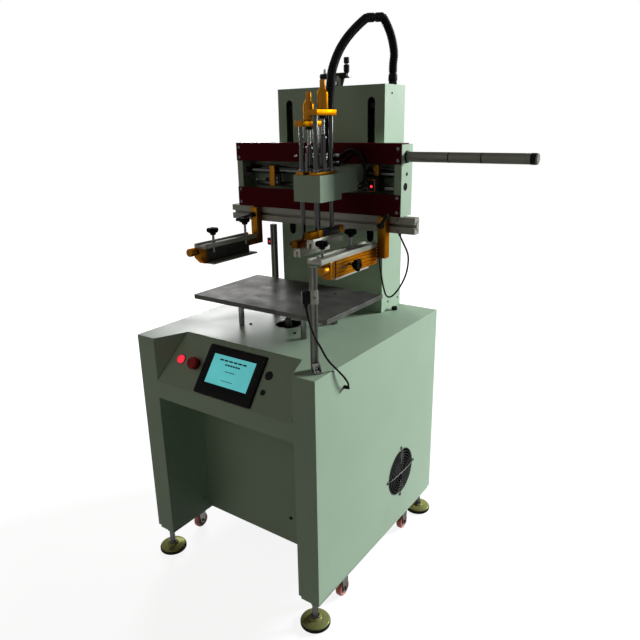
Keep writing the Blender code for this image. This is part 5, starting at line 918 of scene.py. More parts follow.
def make_operator_screen():
    """The screen in its bezel, with plain bars for its text."""
    screen = Piece("operator_screen_unit")
    face, thick, centre = 0.0036, 0.006, (0.005, 0.071)
    glass = (0.005, 0.076)
    place = console_place()
    outer, top = round_box(0.194, 0.136, 0.005, centre, 9), face + thick
    screen.add(layered([(outer, face), (outer, top - 0.0016),
                        (round_box(0.1928, 0.1348, 0.005, centre, 9), top - 0.0005),
                        (round_box(0.1905, 0.1325, 0.004, centre, 9), top),
                        (round_box(0.146, 0.083, 0.0015, glass, 9), top),
                        (round_box(0.1434, 0.0804, 0.001, glass, 9), top - 0.0009)]), "gloss_bezel", place)
    screen.add(block((centre[0] - 0.0895, centre[1] - 0.0605, -0.035),
                     (centre[0] + 0.0895, centre[1] + 0.0605, face + 0.001), 0.001), BLACK, place)
    pane = bmesh.new()
    bmesh.ops.create_grid(pane, x_segments=16, y_segments=10, size=0.5)
    pane.transform(at(*glass, top - 0.0007) @ Matrix.Diagonal((0.1428, 0.0798, 1, 1)))
    screen.add(pane, "screen_light", place)
    bars = ((0.0, 0.0275, 0.094, 0.0042), (0.002, 0.0165, 0.052, 0.0042), (0.0, -0.001, 0.034, 0.0022),
            (0.0, -0.0255, 0.04, 0.0018))
    words = 6
    for across, up, wide, high in bars:
        step = wide / words
        for k in range(words):
            left = glass[0] + across - wide / 2 + k * step
            screen.add(block((left, glass[1] + up - high / 2, top - 0.0007),
                             (left + step * 0.82, glass[1] + up + high / 2, top - 0.00058), 0),
                       "screen_mark", place)
    for across, up in ((0.088, 0.077), (0.096, 0.125)):
        screen.add(round_bar(0.0011, top - 0.0004, top + 0.0002, 0.0001, 16), "grey_collar",
                   console_place(across, up))
    screen.done("machine", "grey_plastic", "operator_screen")


def make_buttons():
    """The start and stop buttons with their collars, and the two plugs."""
    face = 0.0033
    start_place, stop_place = console_place(-0.178, 0.076), console_place(-0.122, 0.0735)
    start = Piece("start_button_cap")
    start.add(softened([(0, -0.0165), (0.0113, -0.0165), (0.0113, face + 0.0046), (0.0098, face + 0.0064),
                        (0, face + 0.0067)], 0.001, 56), "start_lamp", start_place)
    start.done("start_button", "red_plastic", "start_button")
    collars = Piece("button_collars")
    collars.add(softened([(0.0118, face - 0.001), (0.015, face - 0.001), (0.015, face + 0.0014),
                          (0.0138, face + 0.0028), (0.0118, face + 0.0028), (0.0118, face - 0.001)], 0.0006,
                         48), "grey_collar", start_place)
    collars.add(softened([(0.0097, face - 0.001), (0.015, face - 0.001), (0.015, face + 0.0012),
                          (0.0135, face + 0.0044), (0.0112, face + 0.0048), (0.0097, face + 0.0048),
                          (0.0097, face - 0.001)], 0.0006, 48), "stop_collar_red", stop_place)
    for up, radius in ((0.0956, 0.01), (0.0514, 0.006)):
        collars.add(softened([(0, face - 0.004), (radius - 0.0006, face - 0.004), (radius - 0.0006, face),
                              (radius + 0.0016, face), (radius + 0.0014, face + 0.0014),
                              (radius * 0.75, face + 0.0022), (0, face + 0.0024)], 0.0005, 48), BLACK,
                    console_place(0.122, up))
    collars.done("machine", "black_plastic")
    stop = Piece("stop_button_cap")
    stop.add(softened([(0, -0.0265), (0.0088, -0.0265), (0.0088, face + 0.01), (0.0162, face + 0.01),
                       (0.0175, face + 0.0122), (0.0173, face + 0.0165), (0.0145, face + 0.0202),
                       (0.01, face + 0.0214), (0.0086, face + 0.0206), (0, face + 0.021)], 0.0012, 56),
             "stop_cap_red", stop_place)
    for k in range(3):
        turn = Matrix.Rotation(math.tau * k / 3, 4, "Z")
        mark = [(0.0046 * math.cos(a), 0.0046 * math.sin(a)) for a in (0.2, 0.6, 1.0, 1.4)]
        mark += [(0.006 * math.cos(a), 0.006 * math.sin(a)) for a in (1.4, 1.0, 0.6, 0.2)]
        stop.add(slab(mark, "Z", face + 0.0206, face + 0.02125, 0), "stop_collar_red", stop_place @ turn)
    stop.done("stop_button", "red_plastic", "stop_button")


def make_fan(sizes):
    """The fan's frame with its wire guard, and the rotor."""
    centre = (0, 0.11, 0.252)
    inside, outside = 0.2967, 0.3003
    back = inside - 0.026
    guard = Piece("fan_frame_and_guard")
    profile = [(0.068, back), (0.0722, back, "square"), (0.0722, inside, "square"), (0.068, inside),
               (0.068, back)]
    turn = aim(centre, RIGHT, math.radians(45))
    guard.add(turned(profile, 64), "vent_black", turn)
    for k in range(4):
        angle = math.tau * (k + 0.5) / 4
        strut = block((0, -0.0028, back + 0.0008), (0.0692, 0.0028, back + 0.003), 0.0005)
        guard.add(strut, "vent_black", aim(centre, RIGHT, angle))
    guard.add(round_bar(0.0205, back, back + 0.0028), "vent_black", turn)
    wire, first, last, wire_steps = 0.001, 0.0085, 0.0709, 12
    pitch = (last - first) / (sizes.guard_rings - 1)
    for i in range(sizes.guard_rings):
        radius = first + i * pitch
        rise = 0.0011 + 0.0032 * (1 - (i / (sizes.guard_rings - 1)) ** 3)
        guard.add(hoop(radius, wire), "guard_wire_dark", aim((outside + rise, *centre[1:]), RIGHT))
    for y, z in ((1, 0), (0, 1), (-1, 0), (0, -1)):
        route = []
        for i in range(wire_steps + 1):
            reach = 0.0755 * i / wire_steps
            bow = 0.0032 * (1 - min(reach / last, 1) ** 3)
            rise = 0.0027 + bow - 0.0017 * max(0, (reach - last) / 0.006)
            route.append((outside + rise, centre[1] + y * reach, centre[2] + z * reach))
        guard.add(tube(route, wire, 10), DARK)
        ear = (outside + 0.001, centre[1] + y * 0.0795, centre[2] + z * 0.0795)
        guard.add(hoop(0.004, wire, 32), "guard_wire_dark", aim(ear, RIGHT))
        guard.screw(0.0034, DARK, (outside + 0.0012, *ear[1:]), RIGHT)
        guard.add(round_bar(0.002, back + 0.02, outside + 0.002, 0.0002, 16), NICKEL,
                  aim((0, *ear[1:]), RIGHT))
    guard.done("machine", "guard_wire", "fan_frame")

    rotor = Piece("fan_blades")
    middle, root, tip, steps_out, steps_across = back + 0.0118, 0.0185, 0.063, 7, 6
    axle = aim((middle, *centre[1:]), RIGHT)
    rotor.add(softened([(0, -0.0085), (0.0198, -0.0085), (0.0198, 0.007), (0.018, 0.0085), (0, 0.0085)],
                       0.0015, 48), BLACK, axle)
    for k in range(sizes.blades):
        blade = bmesh.new()
        rows = []
        for i in range(steps_out + 1):
            share = i / steps_out
            radius = root + (tip - root) * share
            row = []
            for j in range(steps_across + 1):
                chord = j / steps_across
                angle = math.tau * k / sizes.blades + (chord - 0.5) * (0.78 - 0.12 * share) + 0.3 * share
                rise = (0.5 - chord) * (0.0135 - 0.003 * share) + 0.0015 * math.sin(chord * math.pi)
                row.append(blade.verts.new((radius * math.cos(angle), radius * math.sin(angle), rise)))
            rows.append(row)
        for first_row, second_row in zip(rows, rows[1:]):
            for j in range(steps_across):
                blade.faces.new((first_row[j], second_row[j], second_row[j + 1], first_row[j + 1]))
        bmesh.ops.solidify(blade, geom=blade.faces[:], thickness=0.0011)
        rotor.add(blade, BLACK, axle)
    rotor.done("fan_rotor", "black_plastic", "fan_rotor")


def make_table_details():
    """Screws, the spindle under the table, and what stands on the cabinet's top."""
    details = Piece("table_screws_and_spindle")
    for sx in (-1, 1):
        for sy in (-1, 1):
            head = turned([(0, TABLE_TOP - 0.0013), (0.0024, TABLE_TOP - 0.0013, "hex"),
                           (0.0024, TABLE_TOP - 0.0006, "hex"), (0.0052, TABLE_TOP - 0.0005),
                           (0.0056, TABLE_TOP - 0.0013), (0, TABLE_TOP - 0.0013)], 36)
            details.add(head, DARK, at(sx * 0.11, -0.03 + sy * 0.076, 0))
    place = at(0, -0.03, 0)
    details.add(softened([(0, 0.683), (0.0052, 0.683), (0.0052, 0.692), (0.0105, 0.694), (0.0105, 0.722),
                          (0.006, 0.724), (0.006, 0.775), (0, 0.775)], 0.0012, 36), DARK, place)
    details.add(tube([(0.006, 0, 0.716), (0.03, 0.004, 0.717), (0.041, 0.006, 0.7175)],
                     [0.0028, 0.0028, 0.0036], 16), BLACK, place)
    details.add(sleeve(0.0364, 0.0388, 0.7015, 0.706, 0.0004, 80), NICKEL, place)
    for x, y in ((-0.0924, -0.088), (0.0647, -0.0856)):
        details.add(socket_screw(0.0042, 0.003), BLACK, at(x, y, 0.705))
    details.add(softened([(0, 0.705), (0.009, 0.705), (0.0088, 0.7135), (0.006, 0.7155), (0, 0.7155)],
                         0.0014, 40), "black_rubber", at(0.1895, 0.257, 0))
    details.add(round_bar(0.005, 0, 0.0026, 0.0008), BLACK, aim((0.0931, -0.167, 0.1703), FRONT))
    details.screw(0.0034, DARK, (-0.2335, -0.19, 0.1294), RIGHT)
    details.done("machine", "dark_plate")


def slot_outline(half, mouth=0.0026, lip=0.0012, wide=0.0042, deep=0.003):
    """The section of a slotted square extrusion."""
    points = []
    for k in range(4):
        turn = Matrix.Rotation(math.pi / 2 * k, 2)
        for u, d in ((-half, 0), (-mouth, 0), (-mouth, lip), (-wide, lip), (-wide, deep), (wide, deep),
                     (wide, lip), (mouth, lip), (mouth, 0)):
            points.append(tuple(turn @ Vector((u, -half + d))))
    return points


def make_posts():
    """The two sensor posts of slotted extrusion."""
    base = 0.7053
    post = Piece("front_sensor_post")
    place = at(0.2605, -0.2685, 0) @ Matrix.Rotation(math.radians(-36), 4, "Z")
    post.add(slab(slot_outline(0.0075), "Z", base, 0.951, 0.0003), "silver_post", place)
    post.add(slab([(0.0077, base), (0.0295, base), (0.0295, base + 0.004), (0.0117, base + 0.004),
                   (0.0117, base + 0.02), (0.0077, base + 0.02)], "Y", -0.01, 0.01, 0.0008), NICKEL, place)
    for near in (-0.0097, 0.0072):
        post.add(slab([(0.011, base + 0.003), (0.029, base + 0.003), (0.011, base + 0.0195)], "Y", near,
                      near + 0.0025, 0.0004), NICKEL, place)
    post.add(button_screw(0.0044), NICKEL, place @ aim((0.0215, 0, base + 0.004)))
    post.add(button_screw(0.0034), NICKEL, place @ aim((0.0117, 0, base + 0.013), RIGHT))
    post.add(block((-0.009, -0.009, 0.866), (0.009, 0.009, 0.899), 0.0012), "silver_rail", place)
    post.add(socket_screw(0.003, 0.0026), DARK, place @ aim((0.0089, 0, 0.8825), RIGHT))
    post.add(block((-0.005, -0.0262, 0.8682), (0.0046, -0.0088, 0.8974), 0.001), BLACK, place)
    post.add(block((-0.0052, -0.0272, 0.87), (-0.002, -0.0258, 0.896), 0.0003), NICKEL, place)
    post.add(round_bar(0.0011, 0, 0.0006, 0.0002, 14), "sensor_lamp",
             place @ aim((-0.0048, -0.018, 0.893), LEFT))
    post.done("machine", "silver_anodised", "front_post")

    rear = Piece("rear_sensor_post")
    place = at(-0.213, 0.18, 0)
    rear.add(slab(slot_outline(0.008), "Z", base, 0.948, 0.0003), "silver_post", place)
    rear.add(block((-0.025, -0.0042, 0.8792), (-0.0075, 0.0042, 0.9028), 0.0008), BLACK, place)
    rear.add(block((-0.009, -0.006, 0.884), (-0.0075, 0.006, 0.898), 0.0004), NICKEL, place)
    rear.add(block((-0.0175, -0.0048, 0.8886), (-0.0145, -0.004, 0.8926), 0.0003), "sensor_lamp", place)
    rear.done("machine", "silver_anodised", "rear_post")


def make_column_top():
    """The lift cylinder with its valve on the column's top, and the conduit's gland."""
    top = Piece("lift_valve_and_ports")
    y, middle = 0.265, 1.385
    axis = at(-0.013, y, 0)
    barrel = [(0.0, 1.3398), (0.0188, 1.3398), (0.0188, 1.19), (0.0076, 1.19), (0.0076, 1.1802),
              (0.024, 1.1802), (0.024, 1.3497), (0.0094, 1.3497), (0.0094, 1.384), (0, 1.384)]
    top.add(turned(barrel, 40), "silver_post", axis)
    body = [(-0.0085, 1.3775), (0.0085, 1.3775), (0.0088, 1.3925), (-0.0088, 1.3925)]
    top.add(slab([(y + u, v) for u, v in body], "X", -0.0755, 0.015, 0.0016), BLACK)
    for x, way in ((-0.0755, -1), (0.015, 1)):
        reach = 0.0024 if way < 0 else 0.0088
        top.add(round_bar(0.0078, 0, reach, 0.001), NICKEL, aim((x, y, middle), (way, 0, 0)))
    top.add(slab([(-0.052, 1.3535), (-0.004, 1.3535), (0.004, 1.378), (-0.03, 1.378)], "Y", y - 0.0045,
                 y + 0.0045, 0.001), BLACK)
    top.add(nut(0.0062, 0.006), NICKEL, aim((-0.018, y - 0.0085, 1.364), FRONT))
    valve = [(0.0, 1.388), (0.007, 1.388), (0.007, 1.394), (0.0086, 1.396), (0.0086, 1.412),
             (0.0062, 1.4135), (0.0062, 1.4165), (0.008, 1.418, "knurl"), (0.008, 1.4315, "knurl"),
             (0.007, 1.4335), (0, 1.4335)]
    top.add(turned(valve, 96), BLACK, at(0.012, y, 0))
    top.add(round_bar(0.0064, 1.4137, 1.4163, 0.0004), NICKEL, at(0.012, y, 0))
    top.fit(push_fitting(0.85), aim((-0.064, y, 1.3915)))
    top.done("machine", "black_plastic", "lift_cylinder")

    gland = Piece("conduit_gland_nut")
    place = at(0.154, 0.283, COLUMN_TOP)
    gland.add(turned([(0, -0.0072), (0.0116, -0.0072), (0.0116, -0.0034), (0.0088, -0.0033),
                      (0.0088, 0.0004), (0.0112, 0.0005), (0.0113, 0.0012, "hex"), (0.0113, 0.008, "hex"),
                      (0.0112, 0.0088), (0.0106, 0.0096), (0.0122, 0.0106, "knurl"),
                      (0.0127, 0.012, "knurl"), (0.0127, 0.0215, "knurl"), (0.0124, 0.027), (0.0118, 0.029),
                      (0, 0.029)], 96), BLACK, place)
    gland.done("machine", "black_plastic", "conduit_gland")


def make_column_details():
    """Screws of the column, and the rear door's latch and louvres."""
    details = Piece("column_screws")
    right = 0.172
    for y, z in ((0.247, 0.731), (0.247, 1.33), (0.307, 0.731)):
        details.screw(0.003, DARK, (right, y, z), RIGHT)
    for x in (-0.182, 0.156):
        for z in (0.73, 1.334):
            details.screw(0.0032, NICKEL, (x, 0.325, z), BACK)
    details.done("machine", "bright_steel")
    handle = Piece("rear_door_latch")
    low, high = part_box("rear_door")
    x, y, z = high.x - MIDDLE - 0.04, high.y - 0.0062, (low.z + high.z) / 2
    handle.add(softened([(0, 0), (0.0128, 0), (0.0128, 0.0022), (0.011, 0.0034), (0.0085, 0.0034),
                         (0.008, 0.0026), (0, 0.0026)], 0.0006, 48), NICKEL, aim((x, y, z), BACK))
    handle.add(block((-0.001, -0.0062, 0.0024), (0.001, 0.0062, 0.0052), 0.0004), BLACK,
               aim((x, y, z), BACK, 0.5))
    for row in range(9):
        height = 0.2 + row * 0.014
        handle.add(slab([(y - 0.0002, height), (y + 0.0045, height + 0.0015), (y + 0.0045, height + 0.0025),
                         (y - 0.0002, height + 0.007)], "X", -0.07, 0.07, 0.0005), GREEN)
    handle.done("rear_door", "green_paint")


def make_head_details(sizes):
    """Screws, shafts, end supports, and black discs painted as the shade inside the end plate's holes."""
    y = 0.117
    screws = Piece("cover_screws")
    for x in (-0.288, 0.262):
        for z in (1.187, 1.157, 1.061, 1.022):
            screws.add(round_bar(sizes.cover_screw * 1.25, 0, 0.0004, 0.0001), DARK, aim((x, y, z), FRONT))
            screws.screw(sizes.cover_screw, DARK, (x, y - 0.0003, z), FRONT)
    screws.done("head", "bright_steel")
    inside = Piece("shafts_and_supports")
    left, right = -0.2955, 0.2695
    for sy, sz, radius in ((0.146, 1.12, 0.00815), (0.166, 1.13, 0.00515)):
        inside.add(round_bar(radius, left, right, 0.0003, 40), ROD, aim((0, sy, sz), RIGHT))
    for x, way in ((left, 1), (right, -1)):
        near, far = x + way * 0.0006, x + way * 0.014
        inside.add(block((near, 0.13, 1.098), (far, 0.1745, 1.141), 0.0015), "silver_post")
        inside.add(socket_screw(0.003, 0.003), DARK, aim(((near + far) / 2, 0.13, 1.134), FRONT))
    for x in (-0.274, 0.248):
        inside.screw(0.0062, NICKEL, (x, 0.1785, 1.086), FRONT)
    inside.add(block((-0.256, 0.16, 1.0725), (0.23, 0.1788, 1.084), 0.001), DARK)
    # Black discs over the end plate's holes: painted shade standing for their dark inside.
    for hole_y, hole_z, radius in ((0.1504, 1.1213, 0.0045), (0.1437, 1.0891, 0.01)):
        inside.add(turned([(0, 0.0004), (radius * 0.88, 0.0004), (radius * 0.92, 0.0008), (radius, 0.0006),
                           (radius, 0)], 40), "vent_black", aim((0.2732, hole_y, hole_z), RIGHT))
    inside.done("head", "bright_steel")
    small = Piece("beam_and_cover_fixings")
    for x, z in ((0.263, 0.9715), (0.2614, 1.003)):
        small.add(socket_screw(0.003, 0.0018), DARK, aim((x, 0.1263, z), FRONT))
    for z in (0.976, 0.999):
        for x, way in ((0.313, 1), (-0.336, -1)):
            small.add(round_bar(0.003, 0, 0.0003, 0.0001), DARK, aim((x, 0.144, z), (way, 0, 0)))
    small.screw(0.0034, NICKEL, (-0.0712, 0.117, 1.1644), FRONT)
    small.add(nut(0.003, 0.003), NICKEL, aim((-0.064, 0.117, 1.166), FRONT))
    small.done("head", "bright_steel")


def make_stroke_cylinder():
    """The stroke cylinder's tube with its bands, ring and flange."""
    stroke = Piece("stroke_cylinder_tube")
    start, end = 0.2733, 0.612
    reach = end - start
    place = aim((start, 0.15, 1.166), RIGHT)
    tube_profile = [(0.0056, 0), (0.0128, 0), (0.013, 0.001), (0.013, reach - 0.028),
                    (0.0126, reach - 0.0275), (0.0126, reach - 0.0262), (0.013, reach - 0.0255),
                    (0.013, reach - 0.0012), (0.012, reach), (0, reach)]
    stroke.add(turned(tube_profile, 56), "cylinder_tube", place)
    inner = [(0.0056, 0), (0.0056, 0.006), (0.01, 0.006), (0.01, reach - 0.006), (0, reach - 0.006)]
    stroke.add(turned(inner, 40), DARK, place)
    half = 0.0013
    for middle in (0.3915 - start, 0.4774 - start):
        stroke.add(sleeve(0.0129, 0.01325, middle - half, middle + half, 0.0003, 56), BLACK, place)
    ring = reach - 0.0165
    stroke.add(sleeve(0.0126, 0.0137, ring, ring + 0.013, 0.0006, 56), BLACK, place)
    stroke.add(softened([(0.013, 0), (0.016, 0), (0.016, 0.003), (0.013, 0.004), (0.013, 0)], 0.0006, 48),
               BLACK, place)
    stroke.done("head", "silver_anodised", "stroke_cylinder")


def star_knob(radius, height):
    """A five-lobed hand knob about Z, its middle on z = 0."""
    half = height / 2
    return turned([(0, -half), (radius * 0.72, -half), (radius * 0.95, -half * 0.72, "star"),
                   (radius, -half * 0.35, "star"), (radius, half * 0.45, "star"),
                   (radius * 0.93, half * 0.8, "star"), (radius * 0.78, half, "star"),
                   (radius * 0.46, half * 0.96), (radius * 0.4, half * 0.72), (0, half * 0.66)], 80)


def make_stops():
    """The two stops with their sensors, clamped on the shaft."""
    front, back = 0.126, 0.1585
    bore = [(0.146 + 0.0086 * math.cos(a), 1.12 + 0.0086 * math.sin(a))
            for a in (math.tau * k / 24 + math.pi / 2 for k in range(24))]

    def clamp(low_z, high_z):
        """The block's outline with its slit up to the shaft's bore."""
        top = [(0.1445, high_z), (front, high_z), (front, low_z), (back, low_z), (back, high_z),
               (0.1475, high_z)]
        return top + list(reversed([bore[k] for k in range(1, 24)]))

    left = Piece("left_stop_block")
    left.add(slab(clamp(1.075, 1.1345), "X", -0.176, -0.158, 0.0006), GOLD_PLATE)
    left.add(block((-0.1575, 0.1268, 1.079), (-0.1365, 0.1335, 1.11), 0.001), BLACK)
    for radius, z in ((0.0036, 1.087), (0.003, 1.099)):
        left.add(round_bar(radius, 0, 0.003, 0.0005), DARK, aim((-0.147, 0.1268, z), FRONT))
    left.add(round_bar(0.0034, -0.016, 0.0, 0.0004), "gold_turned", aim((-0.176, 0.142, 1.092), RIGHT))
    left.add(star_knob(0.0062, 0.012), BLACK, aim((-0.1975, 0.142, 1.092), LEFT))
    left.add(block((-0.174, 0.1275, 1.1345), (-0.146, 0.134, 1.1375), 0.0006), BLACK)
    left.done("left_stop", "gold_anodised", "left_stop")

    right = Piece("right_stop_block")
    right.add(slab(clamp(1.075, 1.117), "X", 0.184, 0.2, 0.0006), BLACK)
    right.add(block((0.1842, front + 0.0002, 1.1172), (0.2, 0.1385, 1.144), 0.0008), GOLD_PLATE)
    right.add(block((0.17, 0.12, 1.074), (0.1938, 0.1268, 1.107), 0.0012), "amber_lens")
    right.add(block((0.1722, 0.1194, 1.0765), (0.1916, 0.1204, 1.1045), 0.0004), BLACK)
    right.add(round_bar(0.0034, 0, 0.0006, 0.0002, 20), "sensor_lamp", aim((0.183, 0.1194, 1.088), FRONT))
    right.add(star_knob(0.0062, 0.006), "gold_turned", aim((0.1925, 0.1235, 1.134), FRONT))
    right.done("right_stop", "gold_anodised", "right_stop")


def make_carriage_details():
    """Air fittings, the conduit's collar and screws on the carriage."""
    details = Piece("carriage_fittings")
    right, top = 0.151, 1.129
    for place in FITTINGS:
        details.fit(push_fitting(1.25), aim((place.x - 0.0085, place.y, place.z), RIGHT))
        details.fit(push_fitting(1.15), aim((place.x - 0.007, place.y - 0.007, place.z + 0.0002),
                                            (0.35, -1, 0)))
    details.add(block((0.07, 0.101, 1.142), (0.0715, 0.1165, 1.176), 0.001), BLACK)
    details.add(block((0.069, 0.099, 1.1405), (0.086, 0.116, 1.144), 0.0006), BLACK)
    for y, z in ((0.098, 1.085), (0.106, 1.095)):
        details.add(nut(0.0036, 0.003), NICKEL, aim((right - 0.0002, y, z), RIGHT))
    details.add(softened([(0.0121, 1.129), (0.016, 1.129), (0.016, 1.133), (0.0136, 1.1365),
                          (0.0132, 1.1448), (0.0121, 1.1448), (0.0121, 1.129)], 0.0008, 48), BLACK,
                at(0.1, 0.036, 0))
    for x, y in ((0.076, -0.071), (0.144, -0.071), (0.144, 0.06), (0.076, 0.06)):
        z = top if y < 0 else top + (1.141 - top) * min(y / 0.117, 1)
        details.add(button_screw(0.0026), NICKEL, aim((x, y, z - 0.0002)))
    details.done("carriage", "green_paint")


def make_unit(name, x, drop):
    """One cylinder unit; drop is how far it stands below its raised place."""
    y, spread = -0.032, 0.034
    foot, seat = 1.1293, 1.1363
    front, back = y - 0.046, y + 0.046
    rods = [(x, y + s * spread) for s in (-1, 1)]
    axis = at(x, y, 0)
    cylinder = Piece(f"{name}_cylinder_body")
    base = [(front, foot), (0.0, foot), (0.0, foot + 0.0037), (back, foot + 0.0037), (back, seat),
            (front, seat)]
    cylinder.add(slab(base, "X", x - 0.0119, x + 0.0119, 0.0008), GOLD_PLATE)
    barrel = [(0.0086, 1.1812), (0.0098, 1.1812), (0.0108, 1.1795), (0.011, 1.1765), (0.0103, 1.1745),
              (0.0103, 1.1735), (0.011, 1.172), (0.011, 1.147), (0.0103, 1.1455), (0.0103, 1.1445),
              (0.011, 1.143), (0.011, seat - 0.001), (0, seat - 0.001), (0, seat + 0.0015),
              (0.0086, seat + 0.0015), (0.0086, 1.1812)]
    cylinder.add(turned(barrel, 48), "polished_barrel", axis)
    for px, py in rods:
        cylinder.add(softened([(0.0064, seat - 0.0005), (0.0092, seat - 0.0005), (0.0088, seat + 0.006),
                               (0.007, seat + 0.008), (0.0064, seat + 0.008), (0.0064, seat - 0.0005)],
                              0.0006, 36), ROD, at(px, py, 0))
    cylinder.done("carriage", "silver_anodised", f"{name}_cylinder")

    low, high = 1.2715 - drop, 1.2855 - drop
    bar_low, bar_high = 0.9733 - drop, 0.9913 - drop
    slide = Piece(f"{name}_slide_frame")
    plate = round_box(0.024, 0.092, 0.004, (x, y))
    slide.add(slab(plate, "Z", low, high, 0.0008), GOLD_PLATE)
    for px, py in rods:
        slide.add(round_bar(0.006, bar_high - 0.002, high - 0.001, 0.0004, 36), "polished_barrel",
                  at(px, py, 0))
        slide.add(socket_screw(0.0042, 0.0016), DARK, aim((px, py, high)))
    spindle = [(0, high - 0.002), (0.0092, high - 0.002), (0.0092, low - 0.0058), (0.0082, low - 0.0072),
               (0.004, low - 0.0072), (0.004, 1.2262 - drop), (0.0062, 1.225 - drop),
               (0.0084, 1.2215 - drop), (0.0085, 1.215 - drop), (0.0078, 1.213 - drop),
               (0.0075, 1.212 - drop), (0.0075, 1.176 - drop), (0, 1.176 - drop)]
    slide.add(turned(spindle[:4] + [(0, low - 0.0072)], 40), BLACK, axis)
    slide.add(turned([(0, low - 0.006)] + spindle[4:], 40), "polished_barrel", axis)
    slide.add(thread(0.0043, 1.2262 - drop, low - 0.007, 0.0011, 0.0004), ROD, axis)
    half = 0.009
    # The front block takes the darker gold copy, a painted shade.
    slide.add(block((x - half, -0.108, bar_low), (x + half, -0.072, bar_high), 0.0008), "bronzed_block")
    slide.add(block((x - half - 0.0012, -0.0705, bar_low - 0.0002),
                    (x + half + 0.0004, -0.053, bar_high + 0.0012), 0.0008), GOLD_PLATE)
    slide.add(block((x - half + 0.0006, -0.0725, bar_low + 0.001),
                    (x + half - 0.0006, 0.029, bar_high - 0.0004), 0.001), BLACK)
    slide.add(block((x - half, 0.028, bar_low), (x + half, 0.047, bar_high), 0.0008), GOLD_PLATE)
    for py in (-0.0775, 0.0375):
        slide.add(socket_screw(0.0034, 0.0018), DARK, aim((x - half, py, (bar_low + bar_high) / 2), LEFT))
    slide.done(f"{name}_unit", "bright_steel", f"{name}_slide")

    knob = Piece(f"{name}_bottle_adjuster")
    seat_place = at(x, y, high)
    bottle = rounded([(0, 0.0003), (0.0128, 0.0003), (0.0135, 0.0012), (0.0135, 0.037), (0.0128, 0.04),
                      (0.0084, 0.0465), (0.0073, 0.049), (0.0073, 0.05)], 0.002)
    cap = [(0.0072, 0.05), (0.0068, 0.0508), (0.0068, 0.0516), (0.0072, 0.0524, "knurl"),
           (0.0072, 0.067, "knurl"), (0.006, 0.0688), (0, 0.0689)]
    knob.add(turned(bottle + cap[:3], 72), "gold_turned", seat_place)
    knob.add(turned([(0, 0.0505), (0.0067, 0.051)] + cap[3:], 96), "gold_turned", seat_place)
    knob.done(f"{name}_adjuster", "gold_anodised", f"{name}_adjuster")

    holder = Piece(f"{name}_blade_holder")
    top, under = bar_low - 0.0003, bar_low - 0.0253
    section = [(x - 0.011, under + 0.001), (x - 0.0042, under), (x - 0.0042, under + 0.0138),
               (x + 0.0042, under + 0.0138), (x + 0.0042, under), (x + 0.011, under + 0.001),
               (x + 0.011, top - 0.008), (x + 0.0085, top), (x - 0.0085, top), (x - 0.011, top - 0.008)]
    holder.add(slab(section, "Y", -0.097, 0.04, 0.0006), "blade_holder_rail")
    for py in (-0.085, -0.045, -0.005, 0.03):
        holder.screw(0.0026, NICKEL, (x - 0.011, py, under + 0.01), LEFT)
    holder.add(round_bar(0.0022, 0, 0.0004, 0.0001, 16), DARK,
               aim((x - 0.0062, -0.097, under + 0.019), FRONT))
    holder.done(f"{name}_unit", "silver_anodised", f"{name}_holder")

    clamp = Piece(f"{name}_clamp_screw_knob")
    middle = (bar_low + bar_high) / 2
    place = aim((x - half - 0.0003, -0.092, middle), LEFT)
    clamp.add(turned([(0, 0), (0.0034, 0), (0.0034, 0.003), (0.0052, 0.0036), (0.006, 0.0046, "knurl"),
                      (0.006, 0.0124, "knurl"), (0.005, 0.0139), (0, 0.0139)], 96), BLACK, place)
    clamp.done(f"{name}_clamp_knob", "black_plastic", f"{name}_clamp_knob")


def star_screw(name, head, way, reach):
    """A star knob on its threaded stem, named as its body is."""
    place = aim(head, way)
    screw = Piece(name)
    screw.add(star_knob(0.0172, 0.013), "vent_black", place)
    screw.add(turned([(0, -0.013), (0.0072, -0.013), (0.0085, -0.011), (0.009, -0.004), (0, -0.004)], 40),
              BLACK, place)
    screw.add(round_bar(0.0035, -reach + 0.0002, -0.012, 0.0005, 24), ROD, place)
    screw.add(thread(0.0039, -reach + 0.0006, -0.014, 0.0012, 0.0004), ROD, place)
    screw.done(name, "black_plastic", name)


ARMS = {  # where the two arms differ: forward ends, heights and lever
    "right": {"back": 0.1, "lip_low": 0.878, "lip_back": 0.06, "front": -0.103, "web_back": 0.102,
              "nose": 0.0, "front_screw": 0.971, "rear_screw": 0.981, "fine": 0.91, "lever": (0.05, 48)},
    "left": {"back": 0.051, "lip_low": 0.881, "lip_back": 0.0475, "front": -0.144, "web_back": 0.046,
             "nose": 0.018, "front_screw": 0.9745, "rear_screw": 0.985, "fine": 0.921,
             "lever": (0.057, 200)},
}


